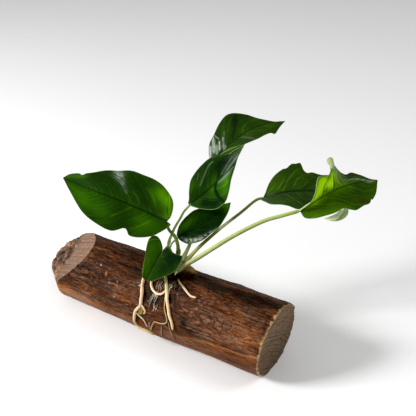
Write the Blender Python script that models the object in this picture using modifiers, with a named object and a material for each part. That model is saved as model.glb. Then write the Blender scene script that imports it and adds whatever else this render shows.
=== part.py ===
"""Anubias plant growing on a piece of driftwood.

The origin is the centre of the flat that the log rests on. +X runs along the log towards its sawn
right end, +Y runs away from the side with the roots, and +Z is up. Lengths are in millimetres and
angles in degrees until a mesh is made.
"""

import math

import bmesh
import bpy
import numpy as np
from mathutils import Matrix, Quaternion, Vector

MM = 0.001
GAP = 0.35  # free space between two pieces that touch

# The log: a round of wood on its side, resting on a narrow flat
LOG_RADIUS = 25.0
LOG_AXIS_HEIGHT = 23.0
LOG_RIGHT_END = 102.0
LOG_RIGHT_LEAN = 0.082  # how far the right end leans out for each millimetre of height
LOG_LEFT_REACH = -112.0  # before the left end is cut
LOG_SIDES = 36
LOG_RINGS = 24

# The left end is sawn on the slant. Past the break edge the wood tore away from below the saw cut,
# and the lower corner broke off. A face is given by where its outward normal points and by where it
# would cross the log's axis.
SAWN_FACE = dict(azimuth=210.4, elevation=47.1, crossing=-72.5)
BREAK_EDGE = (-65.9, -1.5, 27.4)
BREAK_TURN = -24.0
BREAK_DEPTH = 1.3
BROKEN_CORNER = dict(azimuth=235.1, elevation=-20.1, crossing=-95.5)
BROKEN_ROUGHNESS = 0.6

# The rhizome: the thick stem that the leaves and the roots grow from, as (x, y, z, radius)
RHIZOME = [
    (16.0, -8.0, 50.6, 2.4),
    (19.0, -7.0, 51.6, 3.5),
    (24.0, -4.6, 52.4, 4.1),
    (29.0, -2.0, 52.6, 4.1),
    (34.0, 0.4, 52.0, 3.6),
    (38.0, 1.9, 51.4, 3.0),
    (40.8, 2.6, 51.1, 2.7),
]

# Leaves. Angles are at even steps along the midrib: heading is measured from +X towards +Y, pitch
# is up from level, roll turns the blade about its midrib, and fold is how far each half is lifted
# towards the upper side. An outline point is (along the midrib, out from the midrib).
LEAF_THICKNESS = 0.7
LEAF_ROWS = 15
LEAF_COLUMNS = 4
LEAVES = {
    "a": dict(
        base=(19.5, 1.5, 81.5),
        length=70.5,
        heading=(-144, -149, -158),
        pitch=(32, 24, 21),
        roll=(66, 69),
        fold_left=(13,),
        fold_right=(13, 10, 9, 5, 28, 14),
        left=[(-3, 1.5), (4, 11.5), (12, 16.5), (19, 18), (23.5, 15), (31, 19.5), (41.5, 18.5),
              (51.5, 15), (62, 7)],
        right=[(-0.5, 5), (3, 13.5), (11, 19), (18, 21), (25.5, 21), (33, 20.5), (41, 17), (50.5, 14),
               (65.5, 5.5)],
    ),
    "b": dict(
        base=(29, 13.5, 91),
        length=52,
        heading=(56, 60, 66),
        pitch=(27, 39, 57),
        roll=(-26, -25),
        fold_left=(12, 13, 13, 12),
        fold_right=(10, 10, 17, 13),
        left=[(0, 3), (5, 8.5), (10.5, 12.5), (17, 14.5), (24, 15), (31.5, 14), (38.5, 9), (46, 2)],
        right=[(0.5, 2.5), (4.5, 9), (10, 15), (17, 16), (23.5, 12), (29.5, 7.5), (38, 3), (44, 0.7)],
    ),
    "c": dict(
        base=(25, 49, 107),
        length=55.5,
        heading=(51, 46.5, 37.5),
        pitch=(48, 28, -2.5),
        roll=(-14, -19),
        fold_left=(12, 13.5, 14.5, 8, 12),
        fold_right=(16, 26, 14, -4, 8),
        left=[(-1, 4), (5, 11), (11.5, 14), (18.5, 17.5), (25.5, 18.5), (33.5, 12.5), (39.5, 6),
              (48, 0.4)],
        right=[(0, 4), (5, 10), (11.5, 13), (17.5, 17), (24.5, 14.5), (33, 15), (40, 10.5), (47.5, 10)],
    ),
    "d": dict(
        base=(25, 5.5, 69.5),
        length=41,
        heading=(43, 46, 50),
        pitch=(24, 30.5, 41),
        roll=(-54, -54),
        fold_left=(12,),
        fold_right=(12,),
        left=[(0, 2), (3.5, 6), (8, 8.5), (13.5, 10), (19, 10.3), (25, 7.8), (30.5, 5.3), (36.5, 2.6)],
        right=[(0.2, 2), (3.5, 6.5), (8, 8.5), (13.5, 9.4), (19, 8.6), (25, 8), (30.5, 6), (36.5, 3.3)],
    ),
    "e": dict(
        base=(22, -7.5, 65),
        length=21.5,
        heading=(-110, -108, -105),
        pitch=(-46, -49.5, -55.5),
        roll=(39, 39),
        fold_left=(11, 12, 13),
        fold_right=(12,),
        left=[(-3, 0.7), (-6, 1.4), (-5, 6.5), (-5, 12), (1.5, 13.8), (7, 13.6), (13, 10.5), (17, 6),
              (20.5, 2.6)],
        right=[(-3, 0.8), (-6.5, 3.5), (-7.3, 8), (-4, 11), (0.5, 11.5), (6, 8.8), (11, 7.2),
               (15.5, 5), (19.5, 2.8)],
    ),
    "f": dict(
        base=(64.7, 45.3, 92.1),
        length=74,
        heading=(6, 10.5, 19),
        pitch=(30, 21, 11, 0, -84, -169),
        roll=(-16, -15, -14, -13, -4, 2),
        fold_left=(27, 20, 3, 9, 4),
        fold_right=(14, 8, 4, 28, 10),
        left=[(1.5, 2.5), (4.5, 9.5), (10, 15.5), (20.5, 21), (26, 16.5), (31, 16.5), (37, 15.5),
              (44, 15.5), (51, 13), (58, 9.5), (67, 6.5)],
        right=[(0, 3.5), (5, 8.5), (11, 13.5), (18, 15), (23.5, 16.5), (30, 19), (37, 16.5), (43.5, 15.5),
               (51.5, 13.5), (58, 8.5), (65.5, 4)],
    ),
    "g": dict(
        base=(99.4, 26, 101.2),
        length=50.5,
        heading=(47, 44, 37),
        pitch=(35, 21, -3),
        roll=(-60, -59),
        fold_left=(80, 76, 28, 8, -58, -58, -68),
        fold_right=(12,),
        left=[(2.5, 3.5), (8, 6), (13, 7.5), (16, 10.5), (19, 12.3), (23.7, 10), (27, 13), (29.6, 16.3),
              (32.5, 15), (40, 10), (46.5, 2.5)],
        right=[(0, 5), (4.5, 8.5), (10.5, 10.5), (17, 12), (24, 12.2), (28, 14.4), (32, 15.8),
               (38.5, 14.4), (43, 13.6), (48.4, 8.4)],
    ),
}

# Leaf stalks, as points from the rhizome to just short of the blade, and the radius at each end
PETIOLES = {
    "a": ([(29.3, -1.8, 57.6), (28.5, 0, 61), (28.2, 0.8, 65.2), (27, 1.4, 69.1), (25, 2, 72),
           (22.4, 2.1, 73.9), (19.9, 2.5, 75.6)], 1.35, 0.9),
    "b": ([(24.2, -3.8, 57.3), (21.8, -0.6, 62.2), (20.3, 1.3, 65.9), (21, 4.3, 71), (21.9, 6.8, 75.5),
           (24, 9.8, 81), (25.8, 11.7, 85.8)], 1.0, 0.7),
    "c": ([(30.6, 1.2, 56.8), (30.2, 5.6, 58.6), (29.8, 12, 63), (28.4, 19.6, 71.6),
           (27.2, 28.6, 83.2), (25.8, 39, 95.5)], 1.25, 0.85),
    "d": ([(22.6, -1.2, 55.8), (21.3, 1.4, 60.4), (21.1, 3, 63.7), (21.8, 3.9, 65.4), (23.1, 4.6, 67)],
          0.6, 0.5),
    "e": ([(19.5, -6.6, 56.1), (20.2, -6.4, 60)], 0.75, 0.6),
    "f": ([(33.4, 2, 56.3), (35, 5.6, 59.2), (38.3, 11.3, 64.4), (46.5, 23, 74.5), (55, 34.2, 83.5),
           (60.8, 42.2, 90.1)], 1.25, 0.85),
    "g": ([(32.4, -6.6, 54.1), (34.1, -5.9, 55.3), (37.8, -3.6, 58.6), (45.4, 0.5, 64.9), (62, 9.7, 79.4),
           (78.5, 17.7, 91.5), (89.8, 22.1, 97.1)], 1.7, 1.05),
}

# Roots on the log, as (x, angle round the log, clearance above the bark) and the radius at each end.
# The angle is 0 at the front of the log and 90 on its top.
ROOT_STEP = 3.0
ROOTS = {
    "1": ([(14.5, 72, 0), (10.8, 63, 0), (10.8, 56, 0), (11.9, 46, 0), (13.3, 39, 0), (14.5, 28, 0),
           (14.8, 17, 0), (12.1, 7, 0), (10.7, -6, 0), (9.9, -18, 0), (11.6, -25, 0.3), (15, -27, 0.5),
           (20, -26, 0.6), (25.5, -27, 0.7)], 1.1, 0.6),
    "1_right": ([(17, 15.5, 0), (18.6, 12, 0), (18.9, 8, 0), (17.2, 3, 0)], 0.8, 0.5),
    "1_lower": ([(13.4, -1.5, 0), (16.6, -5, 0), (18.2, -12, 0), (19, -19, 0)], 0.65, 0.45),
    "2": ([(17.5, 62, 0), (17.9, 54, 0), (19.2, 49, 0), (21.8, 44, 0), (25, 42, 0), (27.2, 44.5, 0),
           (28, 50, 0)], 0.85, 0.75),
    "3": ([(25, 69.5, 0), (26.1, 66, 0), (29.5, 55, 0), (32, 45, 0), (34.3, 35, 0), (36.5, 25, 0),
           (38.3, 17, 0), (40.4, 9, 0), (41.4, -1, 0)], 1.15, 0.8),
    "4": ([(31.3, 38, 0), (32.4, 28, 0), (33.2, 22, 0), (35, 16, 0), (35.6, 10, 0), (34.4, 4, 0),
           (29.5, 0, 0), (26, -5, 0), (22.8, -13, 0), (23.1, -19, 0)], 0.5, 0.4),
    "4_side": ([(32.4, -2.5, 0), (31.3, -16, 0), (30, -30, 0)], 0.45, 0.35),
    "5": ([(33.4, 73, 0), (37.7, 67, 0), (41.2, 63, 0), (45.4, 58, 0), (48.3, 56, 0), (51.4, 57, 0)],
          0.8, 0.65),
    "6": ([(37.6, 8, 0), (38.9, -3, 0), (40.3, -18, 0), (40.6, -28, 0)], 0.5, 0.35),
}

# Colours
BARK_COLOUR = (0.20, 0.10, 0.06)
RHIZOME_COLOUR = (0.35, 0.33, 0.16)
ROOT_COLOUR = (0.75, 0.62, 0.42)
LEAF_COLOURS = {
    "a": (0.03, 0.13, 0.01),
    "b": (0.02, 0.10, 0.01),
    "c": (0.04, 0.16, 0.02),
    "d": (0.04, 0.18, 0.01),
    "e": (0.08, 0.28, 0.02),
    "f": (0.03, 0.12, 0.01),
    "g": (0.20, 0.42, 0.01),
}
PETIOLE_COLOURS = {
    "a": (0.08, 0.12, 0.01),
    "b": (0.45, 0.55, 0.25),
    "c": (0.25, 0.32, 0.08),
    "d": (0.10, 0.22, 0.03),
    "e": (0.35, 0.50, 0.15),
    "f": (0.28, 0.33, 0.08),
    "g": (0.50, 0.60, 0.20),
}


def clear_scene():
    for item in list(bpy.data.objects):
        bpy.data.objects.remove(item, do_unlink=True)


def collection(name):
    made = bpy.data.collections.new(name)
    bpy.context.scene.collection.children.link(made)
    return made


def material(name, colour, roughness):
    made = bpy.data.materials.new(name)
    made.use_nodes = True
    made.diffuse_color = (*colour, 1)
    shader = made.node_tree.nodes["Principled BSDF"]
    shader.inputs["Base Color"].default_value = (*colour, 1)
    shader.inputs["Roughness"].default_value = roughness
    shader.inputs["Metallic"].default_value = 0
    return made


def add_object(name, data, colour, roughness, location=(0, 0, 0)):
    """A piece of the plant, with a material of its own."""
    made = bpy.data.objects.new(name, data)
    plant.objects.link(made)
    made.location = Vector(location) * MM
    made.parent = root
    made.data.materials.append(material(name, colour, roughness))
    return made


def mesh_of(name, shape):
    mesh = bpy.data.meshes.new(name)
    shape.to_mesh(mesh)
    shape.free()
    return mesh


def smooth_line(controls, count):
    """A smooth line through the control points, at even steps of their numbering."""
    points = np.array(controls, float)
    if len(points) == 1:
        return np.repeat(points, count, axis=0)
    ends = np.vstack([2 * points[0] - points[1], points, 2 * points[-1] - points[-2]])
    at = np.linspace(0, len(points) - 1, count)
    first = np.minimum(at.astype(int), len(points) - 2)
    t = (at - first)[:, None]
    a, b, c, d = ends[first], ends[first + 1], ends[first + 2], ends[first + 3]
    bend = (2 * a - 5 * b + 4 * c - d) * t**2 + (3 * b - a - 3 * c + d) * t**3
    return 0.5 * (2 * b + (c - a) * t + bend)


def angles_along(values, count):
    return smooth_line([[value] for value in values], count)[:, 0]


def even_line(controls, step):
    """The smooth line through the control points, at even distances of about step."""
    fine = smooth_line(controls, 40 * len(controls))
    run = np.concatenate([[0], np.cumsum(np.linalg.norm(np.diff(fine[:, :3], axis=0), axis=1))])
    count = max(3, int(round(run[-1] / step)) + 1)
    at = np.linspace(0, run[-1], count)
    return np.stack([np.interp(at, run, column) for column in fine.T], axis=1)


def make_tube(name, path, radii, resolution, colour, roughness):
    """A round stalk through the points, with its own radius at each of them."""
    curve = bpy.data.curves.new(name, "CURVE")
    curve.dimensions = "3D"
    curve.bevel_depth = MM
    curve.bevel_resolution = resolution
    curve.use_fill_caps = True
    spline = curve.splines.new("POLY")
    spline.points.add(len(path) - 1)
    for point, centre, radius in zip(spline.points, path, radii):
        point.co = (*(float(c) * MM for c in centre), 1)
        point.radius = float(radius)
    return add_object(name, curve, colour, roughness)


def log_radius(x, angle):
    """Radius of the bark, slightly uneven along and round the log. The angle is in radians."""
    waves = 0.3 * math.sin(0.055 * x + 2 * angle + 0.6) + 0.2 * math.sin(0.11 * x - 3 * angle + 2)
    swell = 1.3 * math.exp(-(((x - 12) / 26) ** 2) - ((angle + 0.95) / 0.45) ** 2)
    hollow = 1.2 * math.exp(-(((x - 46) / 24) ** 2) - ((angle - 2.2) / 0.55) ** 2)
    taper = 1.5 * math.exp(-(((x + 62) / 30) ** 2) - ((angle - 2.3) / 0.6) ** 2)
    return LOG_RADIUS + waves + swell - hollow - taper


def on_log(x, angle, height):
    """The point this far above the bark, at this angle round the log."""
    reach = log_radius(x, angle) + height
    return np.array([x, -reach * math.cos(angle), LOG_AXIS_HEIGHT + reach * math.sin(angle)])


def facing(face, turn=0):
    """The rotation that points +Z along the outward normal of a face, after a turn about +Z."""
    azimuth, elevation = math.radians(face["azimuth"]), math.radians(face["elevation"])
    normal = Vector((
        math.cos(elevation) * math.cos(azimuth), math.cos(elevation) * math.sin(azimuth),
        math.sin(elevation),
    ))
    return normal.to_track_quat("Z", "Y") @ Quaternion((0, 0, 1), math.radians(turn))


def add_cutter(name, shape, location, rotation):
    """A cutter whose lower face is centred here, and which lies beyond it."""
    cutter = bpy.data.objects.new(name, mesh_of(name, shape))
    cutters.objects.link(cutter)
    cutter.parent = root
    cutter.hide_render = True
    cutter.display_type = "WIRE"
    cutter.location = Vector(location) * MM
    cutter.rotation_euler = rotation.to_euler()
    return cutter


def block(size, height):
    """A box whose lower face is centred on the origin."""
    shape = bmesh.new()
    bmesh.ops.create_cube(shape, size=1)
    for corner in shape.verts:
        corner.co = Vector((corner.co.x * size, corner.co.y * size, (corner.co.z + 0.5) * height)) * MM
    return shape


def pitted_block(size, height, steps):
    """A square box like block's, whose lower face has shallow pits and ridges."""
    shape = bmesh.new()
    bmesh.ops.create_grid(shape, x_segments=steps, y_segments=steps, size=size / 2)
    for corner in shape.verts:
        u, v = corner.co.x, corner.co.y
        pits = math.sin(0.45 * u + 1) * math.sin(0.5 * v + 0.3 * u) + 0.6 * math.sin(0.9 * v - 0.7 * u)
        corner.co.z = BROKEN_ROUGHNESS * pits
    raised = bmesh.ops.extrude_face_region(shape, geom=shape.faces[:])["geom"]
    tops = [item for item in raised if isinstance(item, bmesh.types.BMVert)]
    bmesh.ops.translate(shape, verts=tops, vec=(0, 0, height))
    bmesh.ops.scale(shape, verts=shape.verts, vec=(MM, MM, MM))
    bmesh.ops.recalc_face_normals(shape, faces=shape.faces)
    return shape


def make_log():
    length = LOG_RIGHT_END + 8 - LOG_LEFT_REACH
    shape = bmesh.new()
    bmesh.ops.create_cone(
        shape, cap_ends=True, segments=LOG_SIDES, radius1=LOG_RADIUS, radius2=LOG_RADIUS, depth=length,
        matrix=Matrix.Rotation(math.pi / 2, 4, "Y"),
    )
    sides = [edge for edge in shape.edges if abs(edge.verts[0].co.x - edge.verts[1].co.x) > length / 2]
    bmesh.ops.subdivide_edges(shape, edges=sides, cuts=LOG_RINGS - 1)
    for corner in shape.verts:
        angle = math.atan2(corner.co.z, -corner.co.y)
        corner.co = Vector(on_log(corner.co.x + LOG_LEFT_REACH + length / 2, angle, 0)) * MM
    log = add_object("driftwood_log", mesh_of("driftwood_log", shape), BARK_COLOUR, 0.7)
    log.data.shade_smooth()

    flat = dict(azimuth=0, elevation=-90)
    right_end = dict(azimuth=0, elevation=-math.degrees(math.atan(LOG_RIGHT_LEAN)))
    tear = 80  # side of the square of torn wood
    torn = facing(SAWN_FACE, BREAK_TURN)
    torn_at = Vector(BREAK_EDGE) - torn @ Vector((0, tear / 2, BREAK_DEPTH))
    for cutter in (
        add_cutter("flat_cutter", block(400, 20), (0, 0, 0), facing(flat)),
        add_cutter(
            "right_end_cutter", block(90, 40), (LOG_RIGHT_END, 0, LOG_AXIS_HEIGHT), facing(right_end)
        ),
        add_cutter(
            "sawn_end_cutter", block(150, 90), (SAWN_FACE["crossing"], 0, LOG_AXIS_HEIGHT),
            facing(SAWN_FACE),
        ),
        add_cutter("torn_wood_cutter", pitted_block(tear, 60, 27), torn_at, torn),
        add_cutter(
            "broken_corner_cutter", pitted_block(120, 90, 40),
            (BROKEN_CORNER["crossing"], 0, LOG_AXIS_HEIGHT), facing(BROKEN_CORNER),
        ),
    ):
        cut = log.modifiers.new(cutter.name, "BOOLEAN")
        cut.operation = "DIFFERENCE"
        cut.solver = "EXACT"
        cut.object = cutter
    return log


def leaf_frames(leaf, count):
    """Midrib points and the directions along it, to its right and out of its upper side."""
    heading, pitch, roll = (
        np.radians(angles_along(leaf[name], count)) for name in ("heading", "pitch", "roll")
    )
    along = np.stack(
        [np.cos(pitch) * np.cos(heading), np.cos(pitch) * np.sin(heading), np.sin(pitch)], axis=1
    )
    level = np.stack([np.sin(heading), -np.cos(heading), np.zeros(count)], axis=1)
    raised = np.cross(level, along)
    right = np.cos(roll)[:, None] * level + np.sin(roll)[:, None] * raised
    upper = np.cos(roll)[:, None] * raised - np.sin(roll)[:, None] * level
    steps = (along[1:] + along[:-1]) / 2 * leaf["length"] / (count - 1)
    midrib = np.vstack([np.zeros(3), np.cumsum(steps, axis=0)])
    return midrib, along, right, upper


def make_leaf(name, leaf):
    """A flat grid shaped to the outline, folded along the midrib and bent, then given thickness.

    Each row of the grid runs from the midrib out to both margins. The leaf's origin is where its
    stalk meets the blade.
    """
    fine = 60
    midrib, along, right, upper = leaf_frames(leaf, fine)
    folds = {side: angles_along(leaf["fold_" + side], fine) for side in ("left", "right")}
    margins = {
        side: smooth_line([(0, 0), *leaf[side], (leaf["length"], 0)], LEAF_ROWS + 1)
        for side in ("left", "right")
    }
    shape = bmesh.new()
    bmesh.ops.create_grid(shape, x_segments=LEAF_ROWS, y_segments=2 * LEAF_COLUMNS, size=0.5)
    for corner in shape.verts:
        row = round((corner.co.x + 0.5) * LEAF_ROWS)
        share = 2 * corner.co.y
        side = "left" if share > 0 else "right"
        x_mid = leaf["length"] * (row / LEAF_ROWS) ** 1.15
        x_out, y_out = margins[side][row]
        x = x_mid + (x_out - x_mid) * abs(share)
        y = y_out * abs(share)

        inside = min(max(x, 0.0), leaf["length"])
        at = inside / leaf["length"] * (fine - 1)
        low = min(int(at), fine - 2)
        part = at - low
        m, a, r, u = ((1 - part) * v[low] + part * v[low + 1] for v in (midrib, along, right, upper))
        fold = math.radians((1 - part) * folds[side][low] + part * folds[side][low + 1])
        outward = -y if side == "left" else y
        place = m + a * (x - inside) + r * outward * math.cos(fold) + u * y * math.sin(fold)
        corner.co = Vector(place) * MM
    bmesh.ops.remove_doubles(shape, verts=shape.verts, dist=0.001 * MM)
    mesh = mesh_of("leaf_" + name, shape)
    made = add_object("leaf_" + name, mesh, LEAF_COLOURS[name], 0.25, leaf["base"])
    made.data.shade_smooth()
    thickness = made.modifiers.new("Thickness", "SOLIDIFY")
    thickness.thickness = LEAF_THICKNESS * MM
    thickness.offset = 0
    return made


clear_scene()
plant = collection("anubias_on_driftwood")
cutters = collection("cutters")
root = bpy.data.objects.new("anubias_on_driftwood", None)
plant.objects.link(root)

make_log()

stem = even_line(RHIZOME, 2.6)
make_tube("rhizome", stem[:, :3], stem[:, 3], 3, RHIZOME_COLOUR, 0.5)

for leaf_name, leaf in LEAVES.items():
    make_leaf(leaf_name, leaf)

for leaf_name, (controls, base_radius, end_radius) in PETIOLES.items():
    blade = LEAVES[leaf_name]
    _, along, _, upper = leaf_frames(blade, 3)
    below = GAP + LEAF_THICKNESS / 2 + end_radius
    end = np.array(blade["base"]) - along[0] * (GAP + 0.5) - upper[0] * below
    path = even_line([*controls, tuple(end)], 6 if leaf_name in "cfg" else 3)
    radii = np.linspace(base_radius, end_radius, len(path))
    make_tube("petiole_" + leaf_name, path, radii, 2, PETIOLE_COLOURS[leaf_name], 0.35)

for root_name, (controls, base_radius, end_radius) in ROOTS.items():
    arc = LOG_RADIUS * math.pi / 180  # distance round the log for each degree
    line = even_line([(x, angle * arc, lift) for x, angle, lift in controls], ROOT_STEP)
    radii = np.linspace(base_radius, end_radius, len(line))
    path = [
        on_log(x, run / LOG_RADIUS, lift + radius + GAP) for (x, run, lift), radius in zip(line, radii)
    ]
    make_tube("root_" + root_name, path, radii, 1, ROOT_COLOUR, 0.5)
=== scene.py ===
"""Anubias plant growing on a piece of driftwood: visible surfaces, materials, light and camera.

Shapes are worked out in millimetres and scaled to metres when a mesh is made.
"""

import math

import bpy
import numpy as np
from mathutils import Matrix, Vector


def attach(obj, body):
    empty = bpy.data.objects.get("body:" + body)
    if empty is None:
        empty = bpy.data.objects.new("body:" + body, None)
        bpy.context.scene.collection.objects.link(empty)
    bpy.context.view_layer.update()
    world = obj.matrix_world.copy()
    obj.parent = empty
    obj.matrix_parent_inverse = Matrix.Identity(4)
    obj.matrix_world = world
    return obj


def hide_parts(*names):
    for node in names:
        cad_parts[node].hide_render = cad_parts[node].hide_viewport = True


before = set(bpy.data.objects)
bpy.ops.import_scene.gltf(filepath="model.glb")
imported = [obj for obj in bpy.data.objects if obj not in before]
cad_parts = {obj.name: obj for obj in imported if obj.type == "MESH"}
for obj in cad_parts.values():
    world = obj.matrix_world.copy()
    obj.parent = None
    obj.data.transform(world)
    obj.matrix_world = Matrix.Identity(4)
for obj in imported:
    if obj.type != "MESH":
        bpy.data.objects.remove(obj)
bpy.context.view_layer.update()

MM = 0.001

# The log, with the same sizes as its solid. A face is a plane's direction in degrees and the x
# where it crosses the log's axis.
LOG_RADIUS = 25.0
LOG_AXIS_HEIGHT = 23.0
LOG_RIGHT_END = 102.0
LOG_RIGHT_LEAN = 0.082
SAWN_FACE = dict(azimuth=210.4, elevation=47.1, crossing=-72.5)
BROKEN_CORNER = dict(azimuth=235.1, elevation=-20.1, crossing=-95.5)
BREAK_EDGE = (-65.9, -1.5, 27.4)
BREAK_DIRECTION = (-0.783, 0.013, -0.622)
BREAK_DEPTH = 1.3
CORNER_ROUNDING = 7.0
CORNER_BULGE = 2.6

# Soft spots are (a, b, size along a, size along b, amount). Swells of the log are by x and angle in
# radians, those of the torn end by y and z, and the rim's knob by distance to the end and angle.
LOG_SWELLS = [(12, -0.95, 26, 0.45, 1.3), (46, 2.2, 24, 0.55, -1.2), (-62, 2.3, 30, 0.6, -1.5)]
BACK_BULGE = [(3, 0, 8, 8, 3.6)]
SHOULDER = [(16, 4.6, 3.6, 4, 2.8)]
TORN_HOLE = [(13.2, 12.8, 2.8, 2.4, 1.3)]
TORN_TONES = [(18, 20, 4, 6, 0.3), (9, 32, 6, 7, 0.2), (4, 17, 7, 5, -0.06), (-14, 17, 5, 5, 0.3)]
RIM_KNOB = [(0.8, 2.65, 1.6, 0.06, 1.0)]

# The directions in which saw marks follow each other on the two ends
LEFT_SAW_LINE = (0.168, 0.833, 0.526)
RIGHT_SAW_LINE = (0.0, 0.74, 0.67)

# How finely the meshes are made
LOG_RINGS = 290
LOG_SIDES = 262
END_RINGS = 33
BLADE_ROWS = 150
BLADE_COLUMNS = 34
STALK_STEP = 0.8
STALK_SIDES = 20
HAIR_RINGS = 16
HAIR_SIDES = 5

# Where the search for the left rim starts, and how many scales go round the log
LEFT_RIM_GUESS = -70.0
SCALES_ROUND = 52

# The photo's camera, fitted to the log's outline, and the point that the lights face, in metres
CAMERA_PLACE = (0.2461, -0.30697, 0.30002)
CAMERA_RIGHT = (0.84439, 0.53572, 0.0)
CAMERA_UP = (-0.25695, 0.405, 0.87747)
CAMERA_BACK = (0.47008, -0.74093, 0.47963)
LIGHT_TARGET = (0.03, 0.0, 0.06)

# How deep roots sink into the bark, and looks that several materials share, among them the colours of the
# leaves' painted shine
ROOT_SINK = 0.45
LEAF_ROUGHNESS = 0.24
EVEN_SHINE = (0.26, 0.335, 0.235)
DULL_SHINE = (0.1, 0.15, 0.08)
BRIGHT_SHINE = (0.46, 0.52, 0.44)
STALK_SCATTER = (0.7, 1.0, 0.3)

# The rhizome's middle line, with its radius at each point
RHIZOME = [
    (16.0, -8.0, 50.6, 2.4),
    (19.0, -7.0, 51.6, 3.5),
    (24.0, -4.6, 52.4, 4.1),
    (29.0, -2.0, 52.6, 4.1),
    (34.0, 0.4, 51.8, 3.4),
    (38.0, 1.9, 49.8, 2.4),
    (40.8, 2.6, 48.9, 1.5),
]

# Leaves, as their solids: the midrib starts at base and bends by heading, pitch and roll in degrees,
# each half is folded up by its fold, and left and right are (along, across) of its margins.
LEAVES = {
    "a": dict(
        base=(19.5, 1.5, 81.5), length=70.5, heading=(-144, -149, -158), pitch=(32, 24, 21),
        roll=(66, 69), fold_left=(13,), fold_right=(13, 10, 9, 5, 28, 14),
        left=[(-3, 1.5), (4, 11.5), (12, 16.5), (19, 18), (23.5, 15), (31, 19.5), (41.5, 18.5),
              (51.5, 15), (62, 7)],
        right=[(-0.5, 5), (3, 13.5), (11, 19), (18, 21), (25.5, 21), (33, 20.5), (41, 17), (50.5, 14),
               (65.5, 5.5)],
    ),
    "b": dict(
        base=(29, 13.5, 91), length=52, heading=(56, 60, 66), pitch=(27, 39, 57), roll=(-26, -25),
        fold_left=(12, 13, 13, 12), fold_right=(10, 10, 17, 13),
        left=[(0, 3), (5, 8.5), (10.5, 12.5), (17, 14.5), (24, 15), (31.5, 14), (38.5, 9), (46, 2)],
        right=[(0.5, 2.5), (4.5, 9), (10, 15), (17, 16), (23.5, 12), (29.5, 7.5), (38, 3), (44, 0.7)],
    ),
    "c": dict(
        base=(25, 49, 107), length=55.5, heading=(51, 46.5, 37.5), pitch=(48, 28, -2.5),
        roll=(-14, -19), fold_left=(12, 13.5, 14.5, 8, 12), fold_right=(16, 26, 14, -4, 8),
        left=[(-1, 4), (5, 11), (11.5, 14), (18.5, 17.5), (25.5, 18.5), (33.5, 12.5), (39.5, 6),
              (48, 0.4)],
        right=[(0, 4), (5, 10), (11.5, 13), (17.5, 15.5), (23.5, 13.9), (30, 12.7), (38, 9.7), (43, 9.1),
               (46, 10.7), (50, 6.6)],
    ),
    "d": dict(
        base=(25, 5.5, 69.5), length=41, heading=(43, 46, 50), pitch=(24, 30.5, 41), roll=(-54, -54),
        fold_left=(12,), fold_right=(12,),
        left=[(0, 2), (3.5, 6), (8, 8.5), (13.5, 10), (19, 10.3), (25, 7.8), (30.5, 5.3), (36.5, 2.6)],
        right=[(0.2, 2), (3.5, 6.5), (8, 8.5), (13.5, 9.4), (19, 8.6), (25, 8), (30.5, 6), (36.5, 3.3)],
    ),
    "e": dict(
        base=(22, -7.5, 65), length=21.5, heading=(-110, -108, -105), pitch=(-46, -49.5, -55.5),
        roll=(39, 39), fold_left=(11, 12, 13), fold_right=(12,),
        left=[(-3.6, 0.2), (-5.2, 2), (-3.2, 6), (-3.6, 9.6), (-4.4, 12.8), (-1.5, 14.1), (5.2, 14.4),
              (10, 12), (15.6, 7.8), (19.8, 4.2)],
        right=[(-2.4, 1.6), (-5.2, 5.2), (-6, 8.6), (-4.2, 11), (-0.6, 11.4), (3.4, 10), (8.8, 7.6),
               (14.4, 5.8), (19.2, 4), (21.2, 1.8)],
    ),
    "f": dict(
        base=(64.7, 45.3, 92.1), length=74, heading=(6, 10.5, 19), pitch=(30, 21, 11, 0, -84, -169),
        roll=(-16, -15, -14, -13, -4, 2), fold_left=(27, 20, 3, 9, 4), fold_right=(14, 8, 4, 28, 10),
        left=[(1.5, 2.5), (4.5, 9.5), (10, 15.5), (20.5, 21), (26, 16.5), (31, 16.5), (37, 15.5),
              (44, 15.5), (51, 13), (58, 9.5), (67, 6.5)],
        right=[(0, 3.5), (5, 8.5), (11, 13.5), (18, 15), (23.5, 16.5), (30, 19), (37, 16.5), (43.5, 15.5),
               (51.5, 13.5), (58, 8.5), (65.5, 4)],
    ),
    "g": dict(
        base=(99.4, 26, 101.2), length=50.5, heading=(47, 44, 37), pitch=(35, 21, -3), roll=(-60, -59),
        fold_left=(80, 76, 28, 8, -58, -58, -68), fold_right=(12,),
        left=[(2.5, 3.5), (8, 6), (13, 7.5), (16, 10.5), (19, 12.3), (23.7, 10), (27, 13), (29.6, 16.3),
              (32.5, 15), (40, 10), (46.5, 2.5)],
        right=[(0, 5), (4.5, 8.5), (10.5, 10.5), (17, 12), (24, 12.2), (28, 14.4), (32, 15.8),
               (38.5, 14.4), (43, 13.6), (48.4, 8.4)],
    ),
}
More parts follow.
